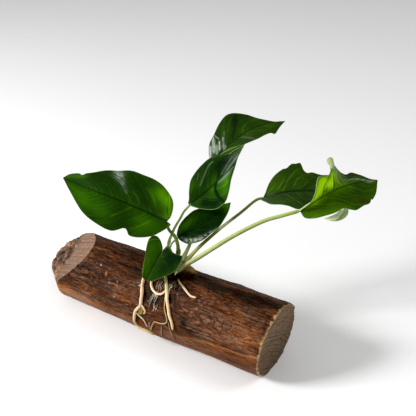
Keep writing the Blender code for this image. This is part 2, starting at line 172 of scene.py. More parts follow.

# How each blade looks: its strong side veins to a side, how far they quilt each half of the blade,
# how yellow its green is and how light it is. ribs is how clearly its veins and fine strands show,
# mottle is the least factor on its shine, and broken is how far the strands vary the shine's colour.
# Places on a blade are (share of the length, share of the width), and the left half has negative
# shares. A spot is (place, size along, size across, amount), and a stroke is (places, width in
# millimetres, amount). light and lines make the green lighter or darker: besides the paler veins and
# the blade's own lighter and darker patches they hold painted light and shade, the glow of light
# through the blades, the shadows that leaves cast on each other, darker halves turned from the light
# and painted shade along folds. sheen and gloss are its painted shine, and brown and rust its brown
# spots and tears. nicks are dents and humps of the margin, as (side, mm along, width, amount).
BLADES = {
    "a": dict(
        veins=24, relief=(0.015, 0.015), warmth=0.0, tone=0.26, ribs=0.75,
        light=[(0.25, 0.8, 0.11, 0.28, 0.5), (0.1, 0.65, 0.07, 0.5, 0.34), (0.84, -0.5, 0.14, 0.4, 0.16),
               (0.28, -0.5, 0.12, 0.4, 0.16), (0.68, -0.5, 0.08, 0.3, 0.12),
               (0.58, -0.85, 0.14, 0.25, -0.08), (0.6, 0.3, 0.2, 0.4, -0.04), (0.5, -0.3, 0.1, 0.3, -0.07)],
        gloss=[([(0.7, 0.97), (0.66, 0.78)], 2.6, 0.75), ([(0.66, 0.76), (0.59, 0.53)], 1.6, 0.3),
               ([(0.6, 0.56), (0.52, 0.33)], 1.5, 0.12), ([(0.66, 0.89), (0.593, 0.62)], 0.7, 0.3)],
        lines=[([(0.36, 0.14), (0.413, 0.3), (0.48, 0.42)], 0.35, 0.22),
               ([(0.25, 0.39), (0.33, 0.55), (0.42, 0.69)], 0.4, 0.2),
               ([(0.26, -0.05), (0.34, -0.33), (0.46, -0.64)], 0.35, 0.2),
               ([(0.4, -0.05), (0.52, -0.44), (0.61, -0.59)], 0.35, 0.2),
               ([(0.2, -0.21), (0.28, -0.49), (0.38, -0.75)], 0.35, 0.18),
               ([(0.19, 0.71), (0.09, 0.67)], 0.5, -0.25),
               ([(0.6, -0.56), (0.67, -0.73), (0.74, -0.95)], 0.8, -0.14),
               ([(0.59, 0.92), (0.47, 0.55), (0.29, 0.25)], 3.0, -0.08),
               ([(0.84, 0.75), (0.97, 0.95)], 1.2, 0.16)],
        brown=[(1.0, 0.0, 0.03, 1.0, 0.5)], nicks=[("right", 59.6, 1.3, -1.5)],
    ),
    "b": dict(
        veins=14, relief=(0.02, 0.02), warmth=0.0, tone=0.17, mottle=0.95, broken=0.2,
        light=[(0.24, -0.85, 0.12, 0.13, 0.14), (0.12, -0.4, 0.05, 0.3, 0.1),
               (0.53, 0.55, 0.1, 0.4, 0.3), (0.45, 0.1, 0.08, 0.2, 0.16), (0.62, 0.45, 0.07, 0.4, 0.2),
               (0.36, 0.3, 0.06, 0.3, 0.12), (0.66, -0.4, 0.09, 0.12, -0.15),
               (0.36, -0.3, 0.12, 0.35, 0.07), (0.1, 0.2, 0.1, 0.6, 0.1),
               (0.25, 0.6, 0.06, 0.35, -0.12), (0.34, 0.88, 0.05, 0.2, -0.12),
               (0.48, -0.2, 0.06, 0.2, 0.1), (0.74, -0.2, 0.1, 0.4, -0.2)],
        sheen=[(0.7, -0.05, 0.08, 0.2, 0.08), (0.87, -0.2, 0.08, 0.5, 0.22)],
        gloss=[([(0.33, -0.45), (0.5, -0.65), (0.6, -0.75), (0.65, -0.77)], 0.32, 0.36),
               ([(0.45, -0.85), (0.38, -0.74)], 0.3, 0.18),
               ([(0.59, -0.09), (0.71, -0.2), (0.82, -0.46)], 0.4, 0.25),
               ([(0.6, 0), (0.73, -0.08), (0.847, -0.09)], 0.4, 0.25),
               ([(0.65, 0.01), (0.75, -0.03), (0.88, 0.01)], 0.4, 0.35),
               ([(0.54, 0.14), (0.64, 0.2), (0.753, 0.59)], 0.5, 0.32),
               ([(0.5, 0.08), (0.58, 0.17), (0.693, 0.46)], 1.2, 0.24)],
        lines=[([(0.69, -0.6), (0.61, -0.27), (0.5, -0.01)], 0.7, -0.3),
               ([(0.12, -0.25), (0.3, -0.32), (0.5, -0.4)], 2.0, -0.1),
               ([(0.487, -0.01), (0.44, 0.11), (0.42, 0.26), (0.413, 0.52), (0.43, 0.76),
                 (0.44, 1)], 0.85, -0.45),
               ([(0.24, 0.6), (0.32, 0.67), (0.39, 0.76)], 2.4, -0.14),
               ([(0.607, -0.23), (0.673, -0.29), (0.8, -0.54)], 1.8, -0.2),
               ([(0.35, 1), (0.393, 1), (0.44, 1)], 0.5, 0.3)],
        nicks=[("left", 1.5, 2.5, -1.8), ("left", 5.5, 3.0, -0.7)],
    ),
    "c": dict(
        veins=19, relief=(0.03, 0.02), warmth=0.35, tone=0.14, mottle=0.8,
        light=[(0.82, 0.15, 0.1, 0.4, 0.14), (0.5, -0.35, 0.12, 0.3, 0.04), (0.35, 0.8, 0.12, 0.3, 0.1),
               (0.62, 0.4, 0.16, 0.4, 0.06), (0.72, -0.6, 0.06, 0.3, 0.08)],
        # All of c's gloss strokes are painted highlights but the thin one from (0.327, -0.99), which is its
        # pale scar
        gloss=[([(0.3, -0.95), (0.16, -0.55)], 1.0, 1.0), ([(0.207, -0.91), (0.12, -0.88)], 1.1, 1.0),
               ([(0.29, -0.55), (0.193, -0.2)], 0.7, 0.95), ([(0.35, -0.5), (0.22, 0.08)], 0.7, 0.7),
               ([(0.27, -0.2), (0.24, 0.05)], 1.0, 0.7), ([(0.24, -0.55), (0.14, -0.23)], 0.8, 0.9),
               ([(0.41, -0.62), (0.34, -0.45)], 0.5, 0.3), ([(0.327, -0.99), (0.313, -0.64)], 0.3, 1.0),
               ([(0.48, 0.25), (0.55, 0.91)], 0.8, 0.2)],
        lines=[([(0.59, -0.85), (0.51, -0.4), (0.41, -0.14)], 2.2, -0.18)],
        rust=[([(0.327, -0.99), (0.313, -0.64)], 0.3, 0.12)],
        nicks=[("left", 27, 9, 0.8)],
    ),
    "d": dict(
        veins=15, relief=(0.02, 0.02), warmth=0.0, tone=0.0, mottle=0.05,
        light=[(0.95, 0.0, 0.12, 1.2, 0.8), (0.28, -0.7, 0.24, 0.4, 0.42)],
        gloss=[([(0.113, 0.56), (0.27, 0.65), (0.42, 0.76), (0.57, 0.9), (0.647, 0.98)], 1.1, 0.4),
               ([(0.18, 0.81), (0.31, 0.81), (0.44, 0.89)], 1.2, 0.7)],
        lines=[([(0.16, -0.04), (0.58, -0.06)], 0.35, 0.22)],
    ),
    "e": dict(
        veins=12, relief=(0.01, 0.01), warmth=0.1, tone=0.31, ribs=0.4,
        light=[(0.42, 0.69, 0.3, 0.3, 0.1), (0.45, -0.62, 0.35, 0.4, -0.36)],
        lines=[([(0.44, -0.6), (0.51, -0.92)], 3.0, -0.1),
               ([(0.15, 0.15), (0.32, -0.3), (0.27, -0.71)], 0.5, 0.14),
               ([(0.2, 1), (0.5, 1), (0.85, 1)], 0.3, 0.5)],
        brown=[(0.97, 0.2, 0.05, 1.0, 0.7), (0.9, 0.8, 0.1, 0.3, 0.4)],
    ),
    "f": dict(
        veins=22, relief=(0.035, 0.03), warmth=0.45, tone=0.195, ribs=0.8,
        light=[(0.16, -0.6, 0.12, 0.5, 0.12), (0.3, 0.8, 0.1, 0.3, 0.06), (0.52, 0.4, 0.1, 0.45, -0.02),
               (0.3, 0.4, 0.2, 0.3, -0.06)],
        lines=[([(0.09, -0.56), (0.14, -0.53), (0.18, -0.54)], 0.35, 0.3),
               ([(0.2, -0.21), (0.247, -0.42), (0.28, -0.64)], 0.35, 0.26),
               ([(0.25, -0.11), (0.29, -0.44), (0.32, -0.63), (0.35, -0.77)], 0.35, 0.32),
               ([(0.34, -0.14), (0.36, -0.42), (0.41, -0.71)], 0.35, 0.28),
               ([(0.43, -0.21), (0.45, -0.5)], 0.35, 0.2),
               ([(0.3, 0.24), (0.41, 0.55), (0.51, 0.74)], 0.35, 0.28),
               ([(0.39, 0.12), (0.47, 0.4), (0.52, 0.51)], 0.35, 0.2),
               ([(0.44, -0.13), (0.473, -0.33), (0.51, -0.54)], 2.2, -0.1),
               ([(0.1, 0), (0.3, 0), (0.52, 0)], 0.9, -0.16)],
        brown=[(0.47, -0.86, 0.015, 0.05, 0.5)],
        nicks=[("left", 15.2, 1.3, -1.1), ("left", 18.2, 1.3, 0.7), ("left", 22.8, 1.6, 1.9),
               ("left", 27.8, 1.8, -1.0)],
    ),
    "g": dict(
        veins=15, relief=(0.12, 0.02), warmth=0.4, tone=0.31,
        light=[(0.28, -0.5, 0.24, 0.6, 0.72), (0.5, -0.6, 0.1, 0.5, 0.45), (0.2, 0.12, 0.15, 0.14, 0.3),
               (0.17, 0.68, 0.12, 0.3, 0.14), (0.75, 0.4, 0.2, 0.4, -0.06),
               (0.82, -0.7, 0.09, 0.5, 0.12), (0.63, -0.6, 0.06, 0.5, 0.3),
               (0.6, 0.4, 0.14, 0.3, -0.06)],
        gloss=[([(0.67, -0.27), (0.767, -0.35), (0.82, -0.24), (0.89, 0.03), (0.96, 0.08)], 0.7, 0.5),
               ([(0.767, -1), (0.74, -0.64), (0.73, -0.49)], 0.4, 0.3),
               ([(0.61, -0.1), (0.6, -0.4), (0.63, -0.76), (0.66, -0.96)], 0.4, 0.4),
               ([(0.65, -0.15), (0.64, -0.4), (0.64, -0.67), (0.71, -1)], 0.4, 0.3)],
        lines=[([(0.35, -0.01), (0.39, -0.19), (0.44, -0.49), (0.5, -0.92)], 0.4, -0.4),
               ([(0.42, -0.15), (0.47, -0.54), (0.52, -0.85)], 0.9, -0.18),
               ([(0.51, -0.06), (0.54, -0.36), (0.56, -0.65)], 0.45, -0.35),
               ([(0.5, -0.03), (0.52, -0.4), (0.553, -0.8), (0.607, -0.95)], 0.35, 0.2),
               ([(0.63, -0.2), (0.63, -0.5)], 0.5, -0.25),
               ([(0.76, -0.8), (0.8, -0.76), (0.86, -0.74), (0.89, -0.56)], 3.0, -0.15),
               ([(0.48, 0.17), (0.59, 0.42), (0.72, 0.55)], 0.4, 0.08),
               ([(0.17, 0.9), (0.32, 0.89), (0.39, 0.9), (0.48, 0.97)], 1.4, 0.16)],
        brown=[(0.63, 0.73, 0.06, 0.14, 0.12), (0.8, -0.85, 0.05, 0.3, 0.12), (0.97, 0.8, 0.03, 0.3, 0.5)],
        rust=[([(0.7, 0.76), (0.767, 0.85), (0.833, 1)], 0.6, 1.2)],
        nicks=[("left", 34, 1.3, 0.8), ("left", 30.5, 1.6, 2.2), ("left", 38.6, 2.2, 3.0),
               ("left", 43.5, 2.3, 1.3), ("right", 44.6, 0.5, -1.2)],
    ),
}

# Each stalk's middle line from its foot, and its radius at the foot and at the leaf
PETIOLES = {
    "a": ([(29.3, -1.8, 57.6), (28.5, 0, 61), (28.2, 0.8, 65.2), (27, 1.4, 69.1), (25, 2, 72),
           (22.4, 2.1, 73.9), (19.9, 2.5, 75.6)], 1.35, 0.9),
    "b": ([(24.2, -3.8, 57.3), (21.8, -0.6, 62.2), (20.3, 1.3, 65.9), (21, 4.3, 71), (21.9, 6.8, 75.5),
           (24, 9.8, 81), (25.8, 11.7, 85.8)], 1.0, 0.7),
    "c": ([(30.6, 1.2, 56.8), (30.2, 5.6, 58.6), (29.8, 12, 63), (28.4, 19.6, 71.6),
           (27.2, 28.6, 83.2), (25.8, 39, 95.5)], 1.25, 0.85),
    "d": ([(22.6, -1.2, 55.8), (21.3, 1.4, 60.4), (21.1, 3, 63.7), (21.8, 3.9, 65.4), (23.1, 4.6, 67)],
          0.6, 0.5),
    "e": ([(19.5, -6.6, 56.1), (20.2, -6.4, 60)], 0.75, 0.6),
    "f": ([(33.4, 2, 56.3), (35, 5.6, 59.2), (38.3, 11.3, 64.4), (46.5, 23, 74.5), (55, 34.2, 83.5),
           (60.8, 42.2, 90.1)], 1.25, 0.85),
    "g": ([(32.4, -6.6, 54.1), (34.1, -5.9, 55.3), (37.8, -3.6, 58.6), (45.4, 0.5, 64.9), (62, 9.7, 79.4),
           (78.5, 17.7, 91.5), (89.8, 22.1, 97.1)], 1.7, 1.05),
}

# Roots as (x, angle round the log) with the clearance above the bark where there is one, and the
# radius at each end
ROOTS = {
    "1": ([(14.5, 72), (11.2, 63), (11.5, 56), (12.7, 46), (14.1, 39), (15.1, 28),
           (15.3, 17), (12.3, 7), (10.7, -6), (9.9, -18), (11.6, -25, 0.3), (15, -27, 0.5),
           (20, -26, 0.6), (25.5, -27, 0.7)], 1.15, 0.85),
    "1_right": ([(15.2, 19.5), (16.8, 17.5), (18.4, 14), (19.4, 10), (18, 5.2)], 0.75, 0.5),
    "1_lower": ([(12.2, 4), (13.4, 1), (15.6, -2.2), (17.9, -5.7), (19, -12),
                 (19.7, -18.5)], 0.5, 0.32),
    "2": ([(17.5, 62), (17.9, 54), (19.2, 49), (21.8, 44), (25.3, 42), (28.2, 44.8),
           (29.8, 50), (30.2, 55)], 0.9, 0.75),
    "3": ([(25, 69.5), (26.1, 66), (29.5, 55), (32, 45), (34.3, 35), (36.5, 25),
           (38.3, 17), (40.4, 9), (41.4, -1)], 1.15, 0.8),
    "4": ([(31.2, 41.7), (32.4, 32), (33.1, 25.3), (35, 17.7), (36.3, 9.4), (34.8, 3.6),
           (31, 0.6), (27.4, -0.3), (25.7, -5), (24.4, -11.1), (21.2, -25)], 0.5, 0.28),
    "4_side": ([(32.4, -2.5), (31.3, -16), (30, -30)], 0.28, 0.2),
    "5": ([(33.4, 73), (37.7, 67), (41.2, 63), (45.4, 58), (48.3, 56), (51.4, 57)],
          0.8, 0.65),
    "6": ([(37.6, 8), (38.9, -3), (40.3, -18), (40.6, -28)], 0.34, 0.25),
}

# Small curled parts and sheaths as two edge lines, how far they are crowned between them, and their
# finish
FLAPS = {
    "leaf_c_curl": ([(28.7, 50.7, 111.7), (33.2, 49.9, 115.6), (38.2, 48.7, 119.2), (42.7, 49, 121.5),
                     (46.5, 51.5, 122.7)],
                    [(28.8, 50.2, 109.9), (32.9, 50.7, 110.8), (37.7, 50.2, 112.6), (41.4, 50.6, 115.6),
                     (45.6, 51.6, 121.3)], 0.2, "curl_lime"),
    "leaf_f_curl": ([(117.8, 55.9, 93.9), (118, 54.7, 91), (116.9, 53.6, 88.2), (113.4, 52.2, 86.4),
                     (108.9, 51.1, 85.9), (105.4, 50.4, 86.1)],
                    [(115.4, 56.4, 93), (113.1, 55.7, 92), (111.3, 54.4, 89.8), (109, 53.2, 88.1),
                     (107.1, 52, 87), (105, 50.8, 86.1)], 0.8, "curl_pale"),
    "leaf_g_curl": ([(108.3, 44.7, 123.6), (107.5, 46.2, 124.7), (105.6, 47.2, 125.9), (104.2, 48.9, 127.1),
                     (104.7, 51.4, 127.4)],
                    [(109.9, 45.6, 123.6), (109.7, 47.7, 125.0), (108.4, 49.4, 126.7), (106.9, 51, 127.8),
                     (105.1, 51.8, 127.6)], 0.7, "curl_dull"),
    "sheath_b": ([(19.5, 1.1, 65.3), (19.7, 2.4, 67.2), (20.2, 3.5, 68.3)],
                 [(21.3, 1.6, 64.7), (21.3, 2.9, 66.7), (20.7, 3.4, 68.2)], 0.3, "sheath_green"),
    "sheath_a": ([(28.4, 1.5, 64.6), (29.1, 1.1, 63.4), (29.9, 0.3, 61.3)],
                 [(28.8, 2, 64.3), (29.6, 1.7, 63), (30.2, 0.7, 60.9)], 0.2, "sheath_dry"),
    "sheath_f": ([(29.9, 3.3, 53.2), (31, 5, 54.7), (32.9, 7.2, 56.4)],
                 [(30.4, 2.8, 53), (32, 4.4, 54), (33.1, 6.1, 55.5)], 0.2, "sheath_pale"),
    "sheath_c": ([(30.4, 8.1, 59.2), (30.3, 7.1, 57.8), (30.3, 5.8, 55.6)],
                 [(31.1, 8.1, 59.1), (30.9, 6.9, 57.5), (31.1, 5.8, 55.6)], 0.2, "sheath_pale"),
    "sheath_g": ([(33.6, -9.1, 55), (33.2, -10, 54), (33.1, -10.8, 52.9)],
                 [(34, -8.6, 54.5), (33.9, -9.4, 53.5), (33.3, -10.4, 52.5)], 0.2, "sheath_pale"),
    "root_1_web": ([(15.2, -24.9, 30.8), (14.6, -25.7, 27.5), (14.2, -26, 24.4)],
                   [(17.4, -25.2, 29.4), (17.8, -25.7, 26.6), (16.4, -26, 24.3)], 0.2, "root_web"),
}

# Hair roots on the bark: each tuft starts at (x, angle), spreads over (along, round), runs on by
# (along, round) and stands up to lift, with a number of hairs, their radius and their colour
TUFTS = [
    ((24.5, 40), (2.0, 5), (-1.2, -14), 1.0, 14, 0.13, "pale_hair"),
    ((25.5, 24), (2.0, 6), (0.3, -10), 0.6, 9, 0.11, "pale_hair"),
    ((24, 60), (3, 4), (0.6, -15), 2.0, 11, 0.12, "pale_hair"),
    ((32, 66), (3.2, 4), (1.2, -12), 2.4, 30, 0.16, "dark_hair"),
    ((32.5, 62), (1.6, 3), (-0.8, -12), 2.6, 6, 0.14, "pale_hair"),
    ((37, 68), (2.5, 3), (1.5, -8), 1.6, 12, 0.15, "dark_hair"),
    ((17, 62), (4, 4), (0.5, -10), 2.0, 10, 0.14, "dark_hair"),
    ((24.2, -8), (1.0, 3), (-2.5, -15), 0.5, 4, 0.13, "pale_hair"),
    ((10.5, -26), (0.8, 4), (-1.6, -13), 0.8, 5, 0.12, "pale_hair"),
    ((31.5, 2), (1.2, 3), (-0.6, -18), 0.4, 4, 0.12, "dark_hair"),
    ((41.5, -8), (1.5, 5), (0.4, -12), 0.4, 3, 0.12, "dark_hair"),
    ((11.4, 45.5), (0.1, 0.5), (-0.9, -2.2), 0.5, 2, 0.32, "pale_hair"),
    ((13.5, 30), (1.0, 22), (-1.4, -3), 1.0, 5, 0.08, "pale_hair"),
    ((36.4, 24), (0.8, 18), (1.6, -4), 0.8, 5, 0.08, "pale_hair"),
]

# The bark. The worn strip along the lower front ends at these (x, angle). Spots are
# (x, angle, size along, size round, amount), with angles in degrees from the front.
STRIP_EDGE = [(-55, -7), (-20, -13), (17, -19), (46, -6), (85, 2), (100, 5)]
SCALY = [(64, 38, 30, 26, 1.1), (-2, 32, 12, 12, 0.6), (-38, 45, 12, 18, 0.4)]
PITTED = [(84, -3, 13, 7, 0.5), (-40, 36, 12, 11, 1.0), (-25, 28, 10, 8, 0.5), (-52, 22, 6, 8, 0.8)]
CHIP = [(-17.4, 42, 0.7, 2.6, 1.2)]
BARK_TONES = [
    (-20, 85, 40, 30, -0.1), (-30, 8, 30, 12, 0.03), (-45, -22, 30, 22, 0.18), (93, 36, 14, 22, 0.16),
    (0, 20, 25, 20, 0.07), (84, -20, 22, 16, -0.1),
    (75, 12, 25, 14, 0.02), (60, -20, 40, 16, 0.03), (24, 20, 10, 26, -0.12), (-20, 55, 14, 10, -0.08),
    (88, 18, 12, 14, 0.1),
]
# Painted shadows on the bark, mostly those that the roots, the low leaves and stalks and the chip cast,
# with a few darker spots
SHADOWS_AND_STAINS = [
    (24, 34, 6.5, 16, 0.8), (30, 70, 8, 12, 0.9), (40, 64, 9, 7, 0.8), (37, 46, 2.6, 9, 0.8),
    (41.5, 33, 2.8, 9, 0.8), (48, 16, 3.2, 9, 0.75), (54, 6, 4, 5, 0.6), (-13, 40, 2.6, 2.4, 1.2),
    (100.5, 52, 2, 6, 0.7), (98, -25, 1.2, 3, 0.9), (17.5, 55, 3, 14, 0.25), (55, 57.5, 3, 1.3, 0.8),
    (-42, 38, 5, 6, 0.6),
]
# Painted glints of wet shine on the bark
PAINTED_GLINTS = [
    (-24.1, 52, 0.35, 1.0, 1.0), (-6.8, 13, 0.35, 0.8, 0.7), (-31.4, 7, 0.4, 0.8, 0.4),
    (-35.4, -16, 0.4, 0.9, 0.5), (-30, -20, 0.3, 0.8, 0.4), (-7, 37, 0.3, 0.8, 0.6),
    (-13, 31, 0.3, 0.8, 0.5), (4.2, 9, 0.3, 0.8, 0.4), (38, 52, 0.3, 0.8, 0.5),
]

# Colours along a stalk, a root or a sheath from its foot, as (share of the length, colour)
STALK_TONES = {
    "a": [(0.0, (0.12, 0.11, 0.015)), (0.2, (0.055, 0.085, 0.006)), (1.0, (0.035, 0.085, 0.004))],
    "b": [(0.0, (0.36, 0.4, 0.14)), (0.4, (0.2, 0.27, 0.06)), (1.0, (0.12, 0.21, 0.015))],
    "c": [(0.0, (0.34, 0.38, 0.15)), (0.2, (0.24, 0.29, 0.08)), (0.4, (0.16, 0.22, 0.04)),
          (1.0, (0.16, 0.3, 0.05))],
    "d": [(0.0, (0.28, 0.32, 0.1)), (1.0, (0.1, 0.25, 0.03))],
    "e": [(0.0, (0.4, 0.44, 0.18)), (1.0, (0.16, 0.35, 0.04))],
    # The pale stretch from 0.48 to 0.56 on stalk f is a painted highlight
    "f": [(0.0, (0.3, 0.33, 0.1)), (0.16, (0.2, 0.24, 0.04)), (0.26, (0.075, 0.08, 0.003)),
          (0.42, (0.1, 0.12, 0.006)), (0.48, (0.36, 0.4, 0.18)), (0.56, (0.36, 0.4, 0.18)),
          (0.64, (0.08, 0.1, 0.006)), (1.0, (0.11, 0.17, 0.01))],
    "g": [(0.0, (0.16, 0.16, 0.05)), (0.12, (0.22, 0.23, 0.08)), (0.25, (0.27, 0.32, 0.1)),
          (0.5, (0.21, 0.26, 0.06)), (0.8, (0.22, 0.28, 0.075)), (1.0, (0.16, 0.26, 0.03))],
}
ROOT_TONES = {
    "root_1": [(0.0, (0.62, 0.46, 0.28)), (0.55, (0.66, 0.47, 0.28)), (0.75, (0.48, 0.34, 0.13)),
               (1.0, (0.24, 0.18, 0.04))],
    "root_pale": [(0.0, (0.6, 0.46, 0.28)), (0.5, (0.74, 0.56, 0.36)), (1.0, (0.6, 0.44, 0.26))],
    "root_3": [(0.0, (0.3, 0.32, 0.08)), (0.25, (0.55, 0.47, 0.22)), (0.6, (0.72, 0.5, 0.3)),
               (1.0, (0.74, 0.46, 0.26))],
    "root_5": [(0.0, (0.06, 0.05, 0.01)), (0.3, (0.3, 0.24, 0.09)), (0.6, (0.66, 0.46, 0.29)),
               (1.0, (0.72, 0.48, 0.3))],
    "root_olive": [(0.0, (0.32, 0.28, 0.1)), (0.5, (0.36, 0.29, 0.13)), (1.0, (0.28, 0.19, 0.09))],
    "root_thin": [(0.0, (0.2, 0.12, 0.06)), (0.5, (0.34, 0.21, 0.12)), (1.0, (0.14, 0.07, 0.035))],
}
ROOT_SKINS = {
    "1": "root_1", "1_right": "root_1", "1_lower": "root_pale", "2": "root_pale", "3": "root_3",
    "4": "root_olive", "4_side": "root_thin", "5": "root_5", "6": "root_thin",
}
SHEATH_TONES = {
    "sheath_green": [(0.0, (0.55, 0.6, 0.25)), (0.6, (0.55, 0.55, 0.25)), (1.0, (0.3, 0.18, 0.08))],
    "sheath_dry": [(0.0, (0.25, 0.15, 0.05)), (1.0, (0.3, 0.26, 0.08))],
    "root_web": [(0.0, (0.15, 0.1, 0.012)), (1.0, (0.22, 0.15, 0.03))],
    "sheath_pale": [(0.0, (0.5, 0.48, 0.3)), (1.0, (0.38, 0.37, 0.18))],
}
UNDERSIDE_COLOUR = (0.34, 0.44, 0.2)
CURL_COLOURS = {
    "curl_lime": (0.075, 0.18, 0.012),
    "curl_pale": (0.8, 0.94, 0.54),
    "curl_dull": (0.33, 0.42, 0.18),
}
HAIR_TONES = {"pale_hair": (0.66, 0.56, 0.42), "dark_hair": (0.085, 0.05, 0.028)}


# Numbers

def smooth_line(controls, count):
    """A smooth line through the control points, at even steps of their numbering."""
    points = np.array(controls, float)
    if len(points) == 1:
        return np.repeat(points, count, axis=0)
    ends = np.vstack([2 * points[0] - points[1], points, 2 * points[-1] - points[-2]])
    at = np.linspace(0, len(points) - 1, count)
    first = np.minimum(at.astype(int), len(points) - 2)
    t = (at - first)[:, None]
    a, b, c, d = ends[first], ends[first + 1], ends[first + 2], ends[first + 3]
    bend = (2 * a - 5 * b + 4 * c - d) * t**2 + (3 * b - a - 3 * c + d) * t**3
    return 0.5 * (2 * b + (c - a) * t + bend)


def angles_along(values, count):
    return smooth_line([[value] for value in values], count)[:, 0]


def even_line(controls, step):
    """The smooth line through the control points, at even distances of about step."""
    fine = smooth_line(controls, 40 * len(controls))
    run = np.concatenate([[0], np.cumsum(np.linalg.norm(np.diff(fine[:, :3], axis=0), axis=1))])
    count = max(4, int(round(run[-1] / step)) + 1)
    at = np.linspace(0, run[-1], count)
    return np.stack([np.interp(at, run, column) for column in fine.T], axis=1)


def smoothstep(low, high, value):
    t = np.clip((value - low) / (high - low), 0, 1)
    return t * t * (3 - 2 * t)


def hump(value, at, size):
    """1 where the value is at the place, falling off softly over the size."""
    return np.exp(-(((value - at) / size) ** 2))


def soft_spots(a, b, places):
    """Sum of soft spots, each (a, b, size along a, size along b, amount)."""
    total = np.zeros(np.broadcast(a, b).shape)
    for at_a, at_b, size_a, size_b, amount in places:
        total = total + amount * np.exp(-(((a - at_a) / size_a) ** 2) - ((b - at_b) / size_b) ** 2)
    return total


def noise(u, v, seed, around=0):
    """Smooth noise from -1 to 1 over cells of size 1. It repeats in v after this many cells."""
    table = np.random.default_rng(seed).random((256, 256)) * 2 - 1
    u, v = np.broadcast_arrays(np.asarray(u, float), np.asarray(v, float))
    i, j = np.floor(u).astype(int), np.floor(v).astype(int)
    s, t = u - i, v - j
    s, t = s * s * (3 - 2 * s), t * t * (3 - 2 * t)
    j0, j1 = (j % around, (j + 1) % around) if around else (j % 256, (j + 1) % 256)
    i0, i1 = i % 256, (i + 1) % 256
    near = table[i0, j0] * (1 - t) + table[i0, j1] * t
    far = table[i1, j0] * (1 - t) + table[i1, j1] * t
    return near * (1 - s) + far * s


def fractal(u, v, seed, octaves=3, around=0):
    total, size = 0, 1.0
    for octave in range(octaves):
        k = 2**octave
        total = total + size * noise(u * k, v * k, seed + octave, around * k)
        size *= 0.5
    return total


def scaled(values, factor):
    return tuple(factor * value for value in values)


# Meshes

def unit(vectors):
    return vectors / np.maximum(np.linalg.norm(vectors, axis=-1, keepdims=True), 1e-9)


def grid_faces(rows, columns, start=0, wrap=False):
    """Quads of a grid of points numbered row by row."""
    across = columns if wrap else columns - 1
    i, j = np.meshgrid(np.arange(rows - 1), np.arange(across), indexing="ij")
    k = (j + 1) % columns
    return (start + np.stack([i * columns + j, i * columns + k, (i + 1) * columns + k,
                              (i + 1) * columns + j], axis=-1)).reshape(-1, 4)


def make_piece(name, points, faces, materials, replaces=(), which=None, values=None):
    """A smooth mesh that rides on the root. faces is a list of arrays of quads or triangles, which
    is each face's material and values are numbers for each point."""
    mesh = bpy.data.meshes.new(name)
    rows = [face for group in faces for face in np.asarray(group).tolist()]
    mesh.from_pydata((np.asarray(points) * MM).tolist(), [], rows)
    for material in materials:
        mesh.materials.append(material)
    if which is not None:
        mesh.polygons.foreach_set("material_index", np.asarray(which, np.int32))
    for key, numbers in (values or {}).items():
        attribute = mesh.attributes.new(key, "FLOAT", "POINT")
        attribute.data.foreach_set("value", np.asarray(numbers, np.float32).reshape(-1))
    mesh.validate()
    mesh.shade_smooth()
    piece = bpy.data.objects.new(name, mesh)
    bpy.context.scene.collection.objects.link(piece)
    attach(piece, "root")
    if replaces:
        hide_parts(*replaces)


def full_turn(sides):
    return np.linspace(0, 2 * math.pi, sides, endpoint=False)


def tube_points(path, radii, sides):
    """Rings of points round a path, without twist. radii has one number a ring or one a point."""
    along = unit(np.gradient(path, axis=0))
    side = np.cross(along, (0, 0, 1.0))
    short = np.linalg.norm(side, axis=1) < 0.2
    side[short] = np.cross(along[short], (0, 1.0, 0))
    side = unit(side)
    for i in range(1, len(side)):
        level = side[i - 1] - along[i] * (side[i - 1] @ along[i])
        side[i] = level / max(np.linalg.norm(level), 1e-9)
    top = np.cross(side, along)
    turn = full_turn(sides)[None, :, None]
    radii = np.asarray(radii, float)
    if radii.ndim == 1:
        radii = np.repeat(radii[:, None], sides, axis=1)
    radii = radii[..., None]
    return path[:, None] + radii * np.cos(turn) * side[:, None] + radii * np.sin(turn) * top[:, None]


def tube_mesh(rings):
    """Points and faces of a closed tube from its rings."""
    rows, sides = rings.shape[:2]
    points = np.vstack([rings.reshape(-1, 3), rings[0].mean(0), rings[-1].mean(0)])
    j = np.arange(sides)
    k = (j + 1) % sides
    first, last = rows * sides, rows * sides + 1
    caps = np.vstack([np.stack([np.full(sides, first), k, j], 1),
                      np.stack([np.full(sides, last), (rows - 1) * sides + j,
                                (rows - 1) * sides + k], 1)])
    return points, [grid_faces(rows, sides, wrap=True), caps]


def tube_values(grid, first=0, last=0):
    """A tube's numbers in the order of its points, with those of its first and last middle."""
    return np.concatenate([np.ravel(grid), [first, last]])


def closed_sheet(top, bottom):
    """Points and outward faces of a thin closed body between two grids of points."""
    rows, columns = top.shape[:2]
    count = rows * columns
    points = np.vstack([top.reshape(-1, 3), bottom.reshape(-1, 3)])
    number = np.arange(count).reshape(rows, columns)
    edge = np.concatenate([number[0, :-1], number[:-1, -1], number[-1, :0:-1], number[:0:-1, 0]])
    following = np.roll(edge, -1)
    faces = np.vstack([grid_faces(rows, columns), grid_faces(rows, columns, count)[:, ::-1],
                       np.stack([edge, count + edge, count + following, following], 1)])
    a, b, c, d = (points[faces[:, n]] for n in range(4))
    volume = (a * (np.cross(b, c) + np.cross(c, d))).sum()
    return points, faces if volume > 0 else faces[:, ::-1]


# Materials

class Output:
    """What a node of a material gives. Its sums, differences, products and abs() are Math nodes."""

    def __init__(self, shader, socket):
        self.shader = shader
        self.socket = socket

    def math(self, operation, other=0.0):
        return self.shader.node("Math", {0: self, 1: other}, operation=operation)

    def __add__(self, other):
        return self.math("ADD", other)

    def __sub__(self, other):
        return self.math("SUBTRACT", other)

    def __mul__(self, other):
        return self.math("MULTIPLY", other)

    def __abs__(self):
        return self.math("ABSOLUTE")


